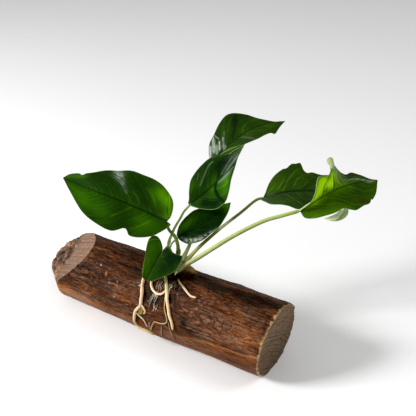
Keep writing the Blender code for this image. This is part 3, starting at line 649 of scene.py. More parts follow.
class Shader:
    """A material's Principled shader, with short names for the nodes that drive it."""

    def __init__(self, name, **settings):
        self.material = bpy.data.materials.new(name)
        self.material.use_nodes = True
        self.tree = self.material.node_tree
        self.shader = self.tree.nodes["Principled BSDF"]
        for key, value in settings.items():
            self.put(self.shader.inputs[key.replace("_", " ")], value)

    def put(self, socket, value):
        """Link a node's output to the socket, or set a plain number, vector or colour on it."""
        if isinstance(value, Output):
            self.tree.links.new(value.socket, socket)
        elif isinstance(value, tuple) and len(socket.default_value) == 4:
            socket.default_value = (*value, 1)
        else:
            socket.default_value = value

    def node(self, kind, inputs, output=0, **settings):
        made = self.tree.nodes.new("ShaderNode" + kind)
        for key, value in settings.items():
            setattr(made, key, value)
        for key, value in inputs.items():
            self.put(made.inputs[key], value)
        return Output(self, made.outputs[output])

    def mix(self, share, a, b):
        """Colour a, going over to colour b with the share. Colours are a Mix node's inputs 6 and 7."""
        return self.node("Mix", {0: share, 6: a, 7: b}, 2, data_type="RGBA")

    def layers(self, colour, *layers):
        """The colour under these layers, each (share, colour)."""
        for share, over in layers:
            colour = self.mix(share, colour, over)
        return colour

    def scale(self, colour, factor):
        return self.node("VectorMath", {0: colour, "Scale": factor}, operation="SCALE")

    def steps(self, value, low, high, start=0.0, end=1.0):
        """start below low, end above high, and smooth between."""
        return self.node("MapRange", {0: value, 1: low, 2: high, 3: start, 4: end},
                         interpolation_type="SMOOTHSTEP")

    def value(self, name):
        """The mesh's number of this name at each point."""
        return self.node("Attribute", {}, "Fac", attribute_name=name)

    def place(self, scale=(1, 1, 1)):
        """Place on the object in millimetres, scaled."""
        coords = self.node("TexCoord", {}, "Object")
        return self.node("Mapping", {"Vector": coords, "Scale": scaled(scale, 1000)})

    def noise(self, where, scale=1.0, detail=3.0, rough=0.55, warp=0.0):
        return self.node("TexNoise", {"Vector": where, "Scale": scale, "Detail": detail,
                                      "Roughness": rough, "Distortion": warp})

    def noise_along(self, line, rough):
        return self.node("TexNoise", {"W": line, "Scale": 1.0, "Detail": 5.0, "Roughness": rough},
                         noise_dimensions="1D")

    def ramp(self, value, stops):
        made = self.node("ValToRGB", {0: value})
        line = made.socket.node.color_ramp
        while len(line.elements) > 1:
            line.elements.remove(line.elements[0])
        line.elements[0].position, line.elements[0].color = stops[0][0], (*stops[0][1], 1)
        for at, colour in stops[1:]:
            line.elements.new(at).color = (*colour, 1)
        return made

    def finish(self, colour, rough, height=None, distance=0.0, strength=0.0):
        """The material with this colour and roughness, and a bump where a height is given. The bump
        is this many millimetres high at a height of 1."""
        inputs = self.shader.inputs
        self.put(inputs["Base Color"], colour)
        self.put(inputs["Roughness"], rough)
        if height is not None:
            bump = {"Height": height, "Distance": distance * MM, "Strength": strength}
            self.put(inputs["Normal"], self.node("Bump", bump))
        return self.material


def leaf_material(name, warmth, ribs=1.0, mottle=0.5, broken=1.0):
    """Upper side of a leaf: light and dark patches that hold painted light and shade, side veins, a midrib
    darkened by painted shade in its groove, a pale margin and painted shine.
    """
    s = Shader(name, Subsurface_Weight=0.15, Subsurface_Scale=0.0005, Subsurface_Radius=(0.7, 1.0, 0.2),
               IOR=1.45, Specular_IOR_Level=0.05)
    where = s.place()
    cloud = s.noise(where, 0.07, 3)
    fine = s.noise(where, 0.6, 4, 0.65)
    tone = s.value("tone") + (cloud - 0.5) * 0.35 + (fine - 0.5) * 0.1

    phase = s.value("phase")
    across = abs(s.value("across"))
    number = (phase + 0.5).math("FLOOR")
    chance = s.node("TexWhiteNoise", {"W": number}, noise_dimensions="1D")
    vein = s.steps(abs(phase - number), 0.03, 0.12, 1, 0) * s.steps(chance, 0.2, 0.9, 0.05, 1)
    strands = s.noise_along(phase * 1.6, 0.6)
    strand = strands - 0.5
    open_blade = s.steps(across, 0.6, 2.5)
    tone = tone + vein * open_blade * (0.22 * ribs) + strand * open_blade * (0.2 * ribs)
    # Painted shade in the groove over the midrib, less dark on its middle ridge
    ridge = s.steps(across, 0.1, 0.3, 1, 0)
    groove = s.steps(across, 0.45, 0.95, 1, 0) - ridge * 0.5
    tone = tone - groove * 0.22

    red = 1 + 0.9 * warmth
    colour = s.ramp(tone, [(0.0, (0.004 * red, 0.014, 0.0035)), (0.25, (0.012 * red, 0.042, 0.0035)),
                           (0.5, (0.032 * red, 0.115, 0.0035)), (0.75, (0.08 * red, 0.235, 0.004)),
                           (1.0, (0.37, 0.71, 0.008))])
    edge = s.steps(s.value("margin"), 0.15, 0.5, 1, 0)
    sheen = s.value("sheen") * s.steps(fine, 0.4, 0.58, mottle, 1.1)
    dull, bright = (tuple(even + (part - even) * broken for even, part in zip(EVEN_SHINE, shine))
                    for shine in (DULL_SHINE, BRIGHT_SHINE))
    colour = s.layers(colour, (edge * 0.32, (0.17, 0.24, 0.09)), (s.value("brown"), (0.036, 0.02, 0.006)),
                      (sheen, s.mix(s.steps(strands, 0.35, 0.65), dull, bright)))
    height = strand * -0.8 + vein * -0.5 + fine * 0.6
    return s.finish(colour, strand * 0.5 + LEAF_ROUGHNESS, height, 0.05, 0.6)


def underside_material(name, colour):
    """Pale underside of a leaf or a curl, with many small veins and a paler midrib."""
    s = Shader(name, Subsurface_Weight=0.2, Subsurface_Scale=0.0006, Subsurface_Radius=STALK_SCATTER,
               IOR=1.4)
    fine = s.noise(s.place(), 0.6, 4, 0.6)
    small = s.steps(abs((s.value("phase") * 5.0).math("FRACT") - 0.5), 0.25, 0.5, 0, 1)
    rib = s.steps(abs(s.value("across")), 0.4, 1.0, 1, 0)
    darker = scaled(colour, 0.62)
    paler = tuple(min(1, 1.5 * part + 0.06) for part in colour)
    shade = s.layers(colour, (small * 0.5, darker), (fine * 0.35, darker), (rib, paler))
    return s.finish(shade, 0.5, small * -0.6 + fine, 0.08, 0.6)


def stalk_material(name, stops):
    """A stalk whose colour runs through these stops along its length, with fine lengthwise streaks, pale
    blots, a painted highlight along its top and painted shade along its underside.
    """
    s = Shader(name, Subsurface_Weight=0.2, Subsurface_Scale=0.001, Subsurface_Radius=STALK_SCATTER,
               IOR=1.45, Specular_IOR_Level=0.2)
    along, up = s.value("along"), s.value("up")
    where = s.node("CombineXYZ", {0: along * 3.0, 1: s.value("round") * 7.0})
    lines = s.noise(where, 1.0, 4, 0.6)
    blot = s.noise(s.place(), 0.25, 3)
    colour = s.mix(s.steps(lines, 0.52, 0.75, 0, 0.3), s.ramp(along, stops), (0.3, 0.2, 0.06))
    lighter = s.node("VectorMath", {0: colour, 1: (1.9, 1.8, 2.0), 2: (0.02, 0.022, 0.012)},
                     operation="MULTIPLY_ADD")
    darker = s.scale(colour, 0.35)
    # Pale blots, then a painted highlight along the top and painted shade along the underside
    colour = s.layers(colour, (s.steps(blot, 0.4, 0.75, 0, 0.3), lighter),
                      (s.steps(up, 0.1, 0.9, 0, 0.5), lighter), (s.steps(up, -1.0, 0.1, 0.75, 0), darker))
    return s.finish(colour, s.steps(lines, 0.3, 0.7, 0.28, 0.42), lines, 0.12, 0.7)


def root_material(name, stops):
    s = Shader(name, Subsurface_Weight=0.25, Subsurface_Scale=0.001, IOR=1.4)
    where = s.place()
    cloud = s.noise(where, 0.18, 3)
    fine = s.noise(where, 1.6, 4, 0.6)
    base = s.ramp(s.value("along"), stops)
    colour = s.layers(base, (s.steps(cloud, 0.4, 0.75, 0, 0.6), s.scale(base, 1.35)),
                      (s.steps(fine, 0.55, 0.8, 0, 0.5), s.scale(base, 0.5)))
    return s.finish(colour, s.steps(fine, 0.3, 0.7, 0.35, 0.55), fine, 0.15, 0.6)


def hair_material(name, tone):
    s = Shader(name, IOR=1.4)
    fine = s.noise(s.place(), 0.9, 3, 0.6)
    colour = s.mix(s.steps(fine, 0.35, 0.65), scaled(tone, 0.5), tone)
    return s.finish(colour, s.steps(fine, 0.3, 0.7, 0.25, 0.5))


def bark_material():
    """Wet bark: dark in the cracks, red between its grey-brown scales, plainer on the worn strip, with
    painted shadows, painted shade in its holes and cracks, a pale rim with a painted highlight and small
    painted glints.
    """
    s = Shader("driftwood_bark", IOR=1.45, Specular_IOR_Level=0.08)
    fibre = s.noise(s.place((0.08, 0.8, 0.8)), 1.0, 5, 0.7, 1.1)
    strand = s.noise(s.place((0.16, 1.3, 1.3)), 1.0, 4, 0.65, 0.8)
    cloud = s.noise(s.place((0.04, 0.09, 0.09)), 1.0, 4, 0.6)
    faded = s.noise(s.place((0.06, 0.15, 0.15)), 1.0, 3)
    grain = s.noise(s.place(), 1.1, 4, 0.7)
    pits = s.noise(s.place((0.35, 0.9, 0.9)), 1.0, 3, 0.6, 0.4)
    streaks = ((fibre - 0.5) * 1.4 + (strand - 0.5) * 1.2) * s.steps(s.value("worn"), 0, 1, 1, 0.6)
    level = s.value("tone") + s.value("raised") * 0.25 + streaks + (cloud - 0.5) * 0.5
    level = level - s.steps(pits, 0.6, 0.72, 0, 0.25)
    colour = s.ramp(level, [(0.1, (0.006, 0.0025, 0.001)), (0.3, (0.04, 0.0115, 0.003)),
                            (0.5, (0.105, 0.032, 0.008)), (0.7, (0.22, 0.074, 0.019)),
                            (0.95, (0.45, 0.185, 0.06))])
    dull = s.mix(s.steps(level, 0.2, 0.8), (0.02, 0.011, 0.006), (0.2, 0.11, 0.066))
    scale = s.mix(s.steps(fibre, 0.35, 0.7), (0.075, 0.034, 0.019), (0.3, 0.145, 0.085))
    gap = s.mix(s.steps(grain, 0.45, 0.65), (0.014, 0.003, 0.0015), (0.15, 0.032, 0.008))
    # Layers: dull faded patches, the scales and the gaps between them, the chip, the pale rim with its
    # painted highlight, painted shadows and shade with a few dark spots, and painted glints
    colour = s.layers(
        colour, (s.steps(faded, 0.45, 0.66, 0, 0.7), dull), (s.value("scale") * 0.8, scale),
        (s.value("gap") * 0.9, gap), (s.value("chip"), (0.42, 0.15, 0.045)),
        (s.value("rim"), (0.62, 0.34, 0.13)), (s.value("shade_and_stain"), (0.006, 0.003, 0.002)),
        (s.value("painted_glint"), (0.75, 0.75, 0.78)))
    return s.finish(colour, s.steps(grain, 0.35, 0.62, 0.3, 0.72), strand * 0.9 + grain * 0.5, 0.5, 0.8)


def cut_wood_material(name, pale, dark, spot, line, bend, scale, grain_share):
    """Sawn wood, with saw marks that are arcs round a point far off along the line."""
    s = Shader(name, IOR=1.4, Specular_IOR_Level=0.12)
    where = s.place()
    run = s.node("VectorMath", {0: where, 1: scaled(line, -bend)}, "Value", operation="DISTANCE")
    run = run + s.noise(where, 0.12, 2) * 2.0
    patch = s.noise(where, 0.3, 3)
    cloud = s.noise(where, 0.1, 4, 0.6)
    grain = s.noise(where, 1.4, 5, 0.7)
    marks = s.noise_along(run * scale, 0.75) + (patch - 0.5) * 0.35
    # rim is pale chipped wood with a painted highlight, the near-black layer painted shadow and shade with
    # a few dark spots, and tone makes the wood lighter or darker: painted shade lower down on the sawn
    # face, and darker towards the bottom of the right end
    colour = s.layers(
        dark, (s.steps(marks, 0.4, 0.6), pale), (s.steps(cloud, 0.42, 0.7, 0, 0.8), spot),
        (s.steps(grain, 0.52, 0.75, 0, grain_share), scaled(dark, 0.35)),
        (s.value("rim"), (0.5, 0.37, 0.2)), (s.value("shade_and_stain"), scaled(dark, 0.25)))
    colour = s.scale(colour, s.value("tone") + 1.0)
    return s.finish(colour, s.steps(grain, 0.3, 0.7, 0.5, 0.8), marks + grain * 0.6, 0.3, 0.9)


def torn_wood_material():
    s = Shader("torn_wood", IOR=1.4, Specular_IOR_Level=0.1)
    grain = s.noise(s.place((0.8, 1.3, 0.9)), 1.0, 5, 0.7, 0.8)
    cloud = s.noise(s.place(), 0.16, 4, 0.6)
    level = s.value("raised") * 0.45 + grain * 3.6 - 1.58 + s.value("tone")
    colour = s.ramp(level, [(0.15, (0.006, 0.004, 0.003)), (0.36, (0.052, 0.024, 0.013)),
                            (0.58, (0.16, 0.072, 0.034)), (0.82, (0.29, 0.15, 0.08)),
                            (1.0, (0.44, 0.26, 0.15))])
    grey = s.mix(grain, (0.045, 0.027, 0.021), (0.21, 0.135, 0.105))
    # The near-black layer is painted shade in the torn end's hole and pits
    colour = s.layers(colour, (s.steps(cloud, 0.54, 0.68, 0, 0.4), grey),
                      (s.value("shade_and_stain"), (0.004, 0.003, 0.003)))
    return s.finish(colour, s.steps(grain, 0.3, 0.7, 0.35, 0.75), grain, 0.7, 1.0)


def rhizome_material():
    s = Shader("rhizome_skin", IOR=1.4, Specular_IOR_Level=0.2)
    where = s.place()
    cloud = s.noise(where, 0.35, 4, 0.6)
    fine = s.noise(where, 1.8, 4, 0.65)
    colour = s.ramp(cloud, [(0.3, (0.1, 0.07, 0.006)), (0.5, (0.22, 0.12, 0.018)),
                            (0.7, (0.36, 0.2, 0.05))])
    # Painted shade darkens the stem below its top
    colour = s.layers(colour, (s.steps(s.value("up"), -0.1, 0.75, 0.9, 0), (0.015, 0.008, 0.004)),
                      (s.value("ring") * 0.6, (0.05, 0.03, 0.012)),
                      (s.steps(fine, 0.55, 0.75, 0, 0.5), (0.12, 0.08, 0.03)))
    return s.finish(colour, s.steps(fine, 0.3, 0.7, 0.4, 0.65), fine, 0.3, 0.8)


# The log

def on_log(x, angle, height):
    """The point at this height above the smooth log."""
    waves = 0.3 * np.sin(0.055 * x + 2 * angle + 0.6) + 0.2 * np.sin(0.11 * x - 3 * angle + 2)
    reach = LOG_RADIUS + waves + soft_spots(x, angle, LOG_SWELLS) + height
    return np.stack([x, -reach * np.cos(angle), LOG_AXIS_HEIGHT + reach * np.sin(angle)], axis=-1)


def face_normal(face):
    turn, rise = math.radians(face["azimuth"]), math.radians(face["elevation"])
    return np.array([math.cos(rise) * math.cos(turn), math.cos(rise) * math.sin(turn), math.sin(rise)])


def plane_x(face, y, z):
    n = face_normal(face)
    return face["crossing"] - (n[1] * y + n[2] * (z - LOG_AXIS_HEIGHT)) / n[0]


def saw_noise(line, x, y, z, width, seed):
    """Saw marks 0.05 mm high, each about this wide, that follow each other along the line."""
    return 0.05 * noise((line[0] * x + line[1] * y + line[2] * z) / width, 0 * y, seed)


def left_surface(y, z):
    """x of the left end at this y and z, how raised its wood looks, 1 where it is torn, and how much
    painted shade darkens its hole and pits there."""
    sawn = plane_x(SAWN_FACE, y, z)
    past = sum((p - edge) * way for p, edge, way in zip((sawn, y, z), BREAK_EDGE, BREAK_DIRECTION))
    past = past + 0.9 * fractal(y / 4, z / 4, 71, 3) + 2.0 * hump(z, 9, 7)
    torn = smoothstep(-0.2, 0.4, past)
    lumps = fractal(y / 6 + z / 9, z / 2.6, 51, 4)
    pits = smoothstep(0.25, 0.7, fractal(y / 3.0, z / 2.6, 58, 3))
    marks = saw_noise(LEFT_SAW_LINE, sawn, y, z, 1.0, 33)
    hole = soft_spots(y, z, TORN_HOLE)
    depth = torn * (0.5 * BREAK_DEPTH - 0.6 * lumps + 1.1 * pits + 0.9 * hole)
    x = sawn + (depth + (1 - torn) * marks) / abs(face_normal(SAWN_FACE)[0])
    corner = plane_x(BROKEN_CORNER, y, z) + 0.5 * fractal(y / 2.6, z / 2.6, 63, 4)
    corner = corner - CORNER_BULGE * hump(z, 12, 9) - soft_spots(y, z, BACK_BULGE)
    torn = np.maximum(torn, corner >= x)
    near = np.clip(1 - np.abs(x - corner) / CORNER_ROUNDING, 0, 1)
    x = np.maximum(x, corner) + CORNER_ROUNDING / 4 * near**2 + soft_spots(y, z, SHOULDER)
    return x, 0.5 + 0.6 * lumps - 0.7 * pits - hole, torn, np.clip(hole + 0.6 * pits, 0, 1)


def right_plane(z):
    return LOG_RIGHT_END + LOG_RIGHT_LEAN * (z - LOG_AXIS_HEIGHT)


def right_surface(y, z):
    """x of the right end, set back a little inside its rim."""
    saw = saw_noise(RIGHT_SAW_LINE, 0, y, z, 0.9, 36) + 0.2 * fractal(y / 7, z / 7, 38, 3)
    return right_plane(z) + saw - 0.35


def cells(u, v, seed, around):
    """Distance to the edge between random cells of size 1, and a random number for each cell."""
    table = np.random.default_rng(seed).random((3, 256, 256))
    i, j = np.floor(u).astype(int), np.floor(v).astype(int)
    nearest, second, chosen = np.full(u.shape, 9.0), np.full(u.shape, 9.0), np.zeros(u.shape)
    for di in (-1, 0, 1):
        for dj in (-1, 0, 1):
            row, column = (i + di) % 256, (j + dj) % around
            centre_u = i + di + 0.5 + 0.8 * (table[0][row, column] - 0.5)
            centre_v = j + dj + 0.5 + 0.8 * (table[1][row, column] - 0.5)
            away = np.hypot(u - centre_u, v - centre_v)
            closer = away < nearest
            second = np.where(closer, nearest, np.minimum(second, away))
            chosen = np.where(closer, table[2][row, column], chosen)
            nearest = np.minimum(nearest, away)
    return second - nearest, chosen


def shadow_band(x, turn):
    """1 on the dark band along the top right of the log, with angles in degrees."""
    low = 70 + 0.16 * (x - 42) + 5 * noise(x / 12, 0 * x, 8)
    high = 98 + 4 * noise(x / 12, 0 * x, 10)
    return smoothstep(-5, 7, turn - low) * (1 - smoothstep(-6, 8, turn - high)) * smoothstep(34, 44, x)


def bark(x, angle):
    """How far the bark stands above the smooth log, and the looks of its surface. Heights are in
    millimetres, and each look is a share from 0 to 1 apart from tone, which is added."""
    arc = LOG_RADIUS * angle
    turn = np.degrees(angle)
    edge = np.interp(x, *zip(*STRIP_EDGE)) + 2.5 * noise(x / 9, 0 * x, 5)
    strip = smoothstep(-88, -75, turn) * (1 - smoothstep(-3, 3, turn - edge))
    lip = hump(turn, edge, 1.8) * smoothstep(45, 65, x)
    fibres = fractal(x / 8 + 0.1 * arc, arc / 1.3, 11, 4)
    ridges = fractal(x / 22, arc / 4.2, 21, 3)

    scaly = np.clip(soft_spots(x, turn, SCALY), 0, 1)
    warp = 0.5 * fractal(x / 6, arc / 4, 61, 2)
    border, lot = cells(x / 4.6 + warp, angle * SCALES_ROUND / (2 * math.pi) + warp, 45, SCALES_ROUND)
    scale = scaly * smoothstep(0.25, 0.5, lot) * smoothstep(0.08, 0.3, border)
    gap = np.clip(scaly * (1 - smoothstep(0.0, 0.16, border)) * smoothstep(0.1, 0.4, lot), 0, 1)

    pitted = np.clip(soft_spots(x, turn, PITTED), 0, 1)
    holes = pitted * smoothstep(0.1, 0.4, fractal(x / 3.0 + 0.2 * arc, arc / 1.5, 31, 3))
    cracks = smoothstep(0.09, 0.01, np.abs(fractal(x / 22 + 0.08 * arc, arc / 4.5, 41, 4)))
    cracks = cracks * (1 - 0.9 * strip) * (1 - 0.6 * scaly)
    chip = np.clip(soft_spots(x, turn, CHIP), 0, 1)
    height = (0.22 * fibres + 0.3 * ridges) * (1 - 0.6 * strip) - 0.5 * cracks
    height = height + 0.65 * scale * (lot - 0.2) - 0.25 * gap - 1.1 * holes + 0.4 * chip + 0.2 * lip

    tone = 0.24 + soft_spots(x, turn, BARK_TONES) + 0.18 * strip + 0.3 * lip
    tone = tone - (0.26 + 0.12 * noise(x / 16, arc / 3, 9)) * shadow_band(x, turn)
    # Painted shadows, with painted shade in the holes and cracks and a few dark spots
    shade_and_stain_spots = soft_spots(x, turn, SHADOWS_AND_STAINS) * (0.85 + 0.5 * noise(x / 2.5, arc / 3, 77))
    looks = dict(raised=0.5 + 0.8 * (height - 0.65 * scale * (lot - 0.2)), tone=tone, scale=scale,
                 gap=gap, chip=chip, shade_and_stain=np.clip(shade_and_stain_spots + 0.75 * holes + 0.35 * cracks, 0, 0.95),
                 painted_glint=np.clip(soft_spots(x, turn, PAINTED_GLINTS), 0, 1), worn=strip)
    return np.clip(height - 0.3, -2.5, 0.3), looks


def log_rim(x, turn):
    """y and z of the bark at this x, none of it below the ground."""
    place = on_log(x, turn, bark(x, turn)[0])
    return place[:, 1], np.maximum(place[:, 2], 0)


def log_outside():
    """The bark's points, in rings from the left rim to the right one, and their looks. The left rim
    is where the bark meets the left end, found step by step."""
    turn = np.linspace(-math.pi / 2, 1.5 * math.pi, LOG_SIDES, endpoint=False)
    left = np.full(LOG_SIDES, LEFT_RIM_GUESS)
    for _ in range(12):
        left = 0.5 * left + 0.5 * left_surface(*log_rim(left, turn))[0]
    left = left_surface(*log_rim(left, turn))[0]
    _, z = log_rim(np.full(LOG_SIDES, LOG_RIGHT_END), turn)
    right = right_plane(z) - 0.5 + 0.35 * fractal(turn * 9, 0 * turn, 91, 3)
    x = left + (right - left) * np.linspace(0, 1, LOG_RINGS)[:, None]
    angle = np.broadcast_to(turn, x.shape)
    height, looks = bark(x, angle)

    to_end = right - x
    chipped = smoothstep(0.9, 0.0, to_end + 0.7 * fractal(turn * 12, 0 * turn, 93, 3))
    knob = soft_spots(to_end, angle, RIM_KNOB)
    points = on_log(x, angle, np.minimum(height - 0.5 * chipped + 1.3 * knob, 0.9))
    points[..., 2] = np.maximum(points[..., 2], 0)
    # The pale chipped rim carries a painted highlight, brighter on the lit side from the top round the
    # front to the bottom
    lit = smoothstep(-1.25, -0.9, angle) * (1 - smoothstep(1.3, 1.9, angle))
    looks["rim"] = np.clip(chipped * (0.35 + 0.65 * lit) * (0.8 + 0.6 * noise(angle * 30, x, 95)), 0, 1)
    looks["shade_and_stain"] = np.clip(looks["shade_and_stain"] + 0.8 * knob, 0, 0.95)
    return points, looks


def end_rings(rim):
    """y and z on rings that shrink from this rim to the log's axis."""
    inside = np.linspace(1, 0, END_RINGS + 2)[1:-1, None] ** 0.9
    return rim[:, 1] * inside, LOG_AXIS_HEIGHT + (rim[:, 2] - LOG_AXIS_HEIGHT) * inside


def end_faces(rim, first, middle):
    """Quads from the rim over an end's rings, and the triangles round its middle."""
    j = np.arange(LOG_SIDES)
    k = (j + 1) % LOG_SIDES
    band = np.stack([rim + j, rim + k, first + k, first + j], 1)
    last = first + (END_RINGS - 1) * LOG_SIDES
    fan = np.stack([last + j, last + k, np.full(LOG_SIDES, middle)], 1)
    return np.vstack([band, grid_faces(END_RINGS, LOG_SIDES, first, True)]), fan


def make_log():
    """The log, whose points are those of the bark, the left end, the right end and their middles."""
    outside, looks = log_outside()
    y0, z0 = end_rings(outside[0])
    y1, z1 = end_rings(outside[-1])
    x0, raised, torn, dark = left_surface(y0, z0)
    ends = [np.stack([x0, y0, z0], -1), np.stack([right_surface(y1, z1), y1, z1], -1)]
    middles = [[left_surface(0.0, LOG_AXIS_HEIGHT)[0], 0, LOG_AXIS_HEIGHT],
               [LOG_RIGHT_END - 0.35, 0, LOG_AXIS_HEIGHT]]
    points = np.vstack([group.reshape(-1, 3) for group in (outside, *ends)] + [middles])

    n_bark, n_end = LOG_RINGS * LOG_SIDES, END_RINGS * LOG_SIDES
    middle = n_bark + 2 * n_end
    tube = grid_faces(LOG_RINGS, LOG_SIDES, wrap=True)[:, ::-1]
    left_quads, left_fan = end_faces(0, n_bark, middle)
    right_quads, right_fan = end_faces(n_bark - LOG_SIDES, n_bark + n_end, middle + 1)
    faces = [tube, left_quads, right_quads[:, ::-1], left_fan, right_fan[:, [1, 0, 2]]]

    bark_wood, sawn_wood, torn_wood, end_wood = range(4)
    torn_points = np.concatenate([np.ones(n_bark), torn.reshape(-1), np.zeros(n_end + 2)])
    torn_quads = torn_points[left_quads].mean(axis=1) > 0.5
    which = np.concatenate([np.full(len(tube), bark_wood), np.where(torn_quads, torn_wood, sawn_wood),
                            np.full(len(right_quads), end_wood), np.full(LOG_SIDES, torn_wood),
                            np.full(LOG_SIDES, end_wood)])
    none = np.zeros(n_end)
    # The right end's rim takes part of the bark's pale rim with its painted highlight. The torn end keeps
    # its own tones, the sawn face is lighter at the top and darker lower down as painted shade, the right
    # end is darker towards the bottom, and painted shade darkens the torn hole and pits.
    right_rim = np.zeros((END_RINGS, LOG_SIDES))
    right_rim[0] = 0.4 * looks["rim"][-1]
    left_tone = torn * soft_spots(y0, z0, TORN_TONES) + (1 - torn) * 0.01 * (z0 - 32)
    right_tone = np.clip(0.014 * (z1 - 24), -0.34, 0.25)
    on_ends = dict(raised=(raised, none, 0.5), shade_and_stain=(torn * dark, none, 0.0),
                   tone=(left_tone, right_tone, 0.0), rim=(none, right_rim, 0.0))
    values = {}
    for key, numbers in looks.items():
        left, right, centre = on_ends.get(key, (none, none, 0.0))
        values[key] = np.concatenate([np.ravel(numbers), np.ravel(left), np.ravel(right), [centre] * 2])
    materials = [
        bark_material(),
        cut_wood_material("sawn_wood", (0.25, 0.15, 0.1), (0.095, 0.052, 0.034),
                          (0.17, 0.092, 0.052), LEFT_SAW_LINE, 500, 0.8, 0.25),
        torn_wood_material(),
        cut_wood_material("end_wood", (0.2, 0.13, 0.08), (0.06, 0.036, 0.018),
                          (0.125, 0.062, 0.026), RIGHT_SAW_LINE, 70, 1.7, 0.55),
    ]
    make_piece("driftwood", points, faces, materials, ("driftwood_log",), which, values)


# Leaves

def leaf_frames(leaf, count):
    """Points along the midrib, and the directions along, to the right of and above the blade."""
    heading, pitch, roll = (
        np.radians(angles_along(leaf[name], count)) for name in ("heading", "pitch", "roll")
    )
    along = np.stack(
        [np.cos(pitch) * np.cos(heading), np.cos(pitch) * np.sin(heading), np.sin(pitch)], axis=1
    )
    level = np.stack([np.sin(heading), -np.cos(heading), np.zeros(count)], axis=1)
    raised = np.cross(level, along)
    right = np.cos(roll)[:, None] * level + np.sin(roll)[:, None] * raised
    upper = np.cos(roll)[:, None] * raised - np.sin(roll)[:, None] * level
    steps = (along[1:] + along[:-1]) / 2 * leaf["length"] / (count - 1)
    midrib = np.array(leaf["base"]) + np.vstack([np.zeros(3), np.cumsum(steps, axis=0)])
    return midrib, along, right, upper


def margin_line(leaf, side, nicks, count):
    """(along, across) of a blade's margin, with its nicks, which never reach past the midrib."""
    margin = smooth_line([(0, 0), *leaf[side], (leaf["length"], 0)], count)
    for where, at, width, amount in nicks:
        if where == side:
            change = amount * hump(margin[:, 0], at, width)
            margin[:, 1] = np.maximum(margin[:, 1] + change, 0)
    return margin


def blade_points(leaf, nicks):
    """The blade's middle sheet, and at each point its distance across from the midrib and to the
    margin, its share of the width and its share of the length."""
    fine = 400
    frames = leaf_frames(leaf, fine)
    length = leaf["length"]
    u = np.linspace(0, 1, BLADE_ROWS + 1)[:, None]
    part_out = np.linspace(0, 1, BLADE_COLUMNS + 1)[None, :]
    halves = []
    for side, sign in (("left", -1), ("right", 1)):
        margin = margin_line(leaf, side, nicks, BLADE_ROWS + 1)
        x = length * u**1.15 * (1 - part_out) + margin[:, :1] * part_out
        y = margin[:, 1:] * part_out
        inside = np.clip(x, 0, length)
        at = inside / length * (fine - 1)
        low = np.minimum(at.astype(int), fine - 2)
        part = (at - low)[..., None]
        midrib, along, right, up = ((1 - part) * v[low] + part * v[low + 1] for v in frames)
        fold = np.radians(np.interp(inside, np.linspace(0, length, fine),
                                    angles_along(leaf["fold_" + side], fine)))[..., None]
        sheet = (midrib + along * (x - inside)[..., None] + right * sign * y[..., None] * np.cos(fold)
                 + up * (y[..., None] * np.sin(fold)))
        room = np.broadcast_to(margin[:, 1:] * (1 - part_out), y.shape)
        halves.append((sheet, sign * y, room, sign * np.broadcast_to(part_out, y.shape)))
    sheet, across, room, share = (np.concatenate([a[:, :0:-1], b], axis=1) for a, b in zip(*halves))
    return sheet, across, room, share, np.broadcast_to(u, across.shape)


def strokes(sheet, places):
    """Sum of soft strokes painted on a blade along lines of (u, share)."""
    total = np.zeros(sheet.shape[:2])
    for line, width, amount in places:
        u, share = np.array(line).T
        i = np.round(u * BLADE_ROWS).astype(int)
        j = np.round(BLADE_COLUMNS + share * BLADE_COLUMNS).astype(int)
        run = even_line(sheet[i, j], 0.4)
        away = np.full(total.shape, 1e9)
        for at, point in zip(np.linspace(0, 1, len(run)), run):
            taper = 1.6 - 0.6 * min(1, 8 * at * (1 - at))
            away = np.minimum(away, taper * np.linalg.norm(sheet - point, axis=-1))
        total = total + amount * hump(away, 0, width)
    return total


def blade_faces(shape, points, normal):
    """Faces of a blade's upper side, its lower side and its two long edges, all facing out."""
    rows, columns = shape
    count = rows * columns
    upper = grid_faces(rows, columns)
    lower = grid_faces(rows, columns, count)[:, ::-1]
    first = np.arange(rows - 1) * columns
    last = first + columns - 1
    first_edge = np.stack([first, first + columns, count + first + columns, count + first], 1)
    last_edge = np.stack([last, count + last, count + last + columns, last + columns], 1)
    # one face well inside the blade tells which way they all face
    sample = upper[200]
    a, b, c = points[sample[:3]]
    if np.cross(b - a, c - a) @ normal.reshape(-1, 3)[sample[0]] < 0:
        return [upper[:, ::-1], lower[:, ::-1], first_edge, last_edge]
    return [upper, lower, first_edge[:, ::-1], last_edge[:, ::-1]]


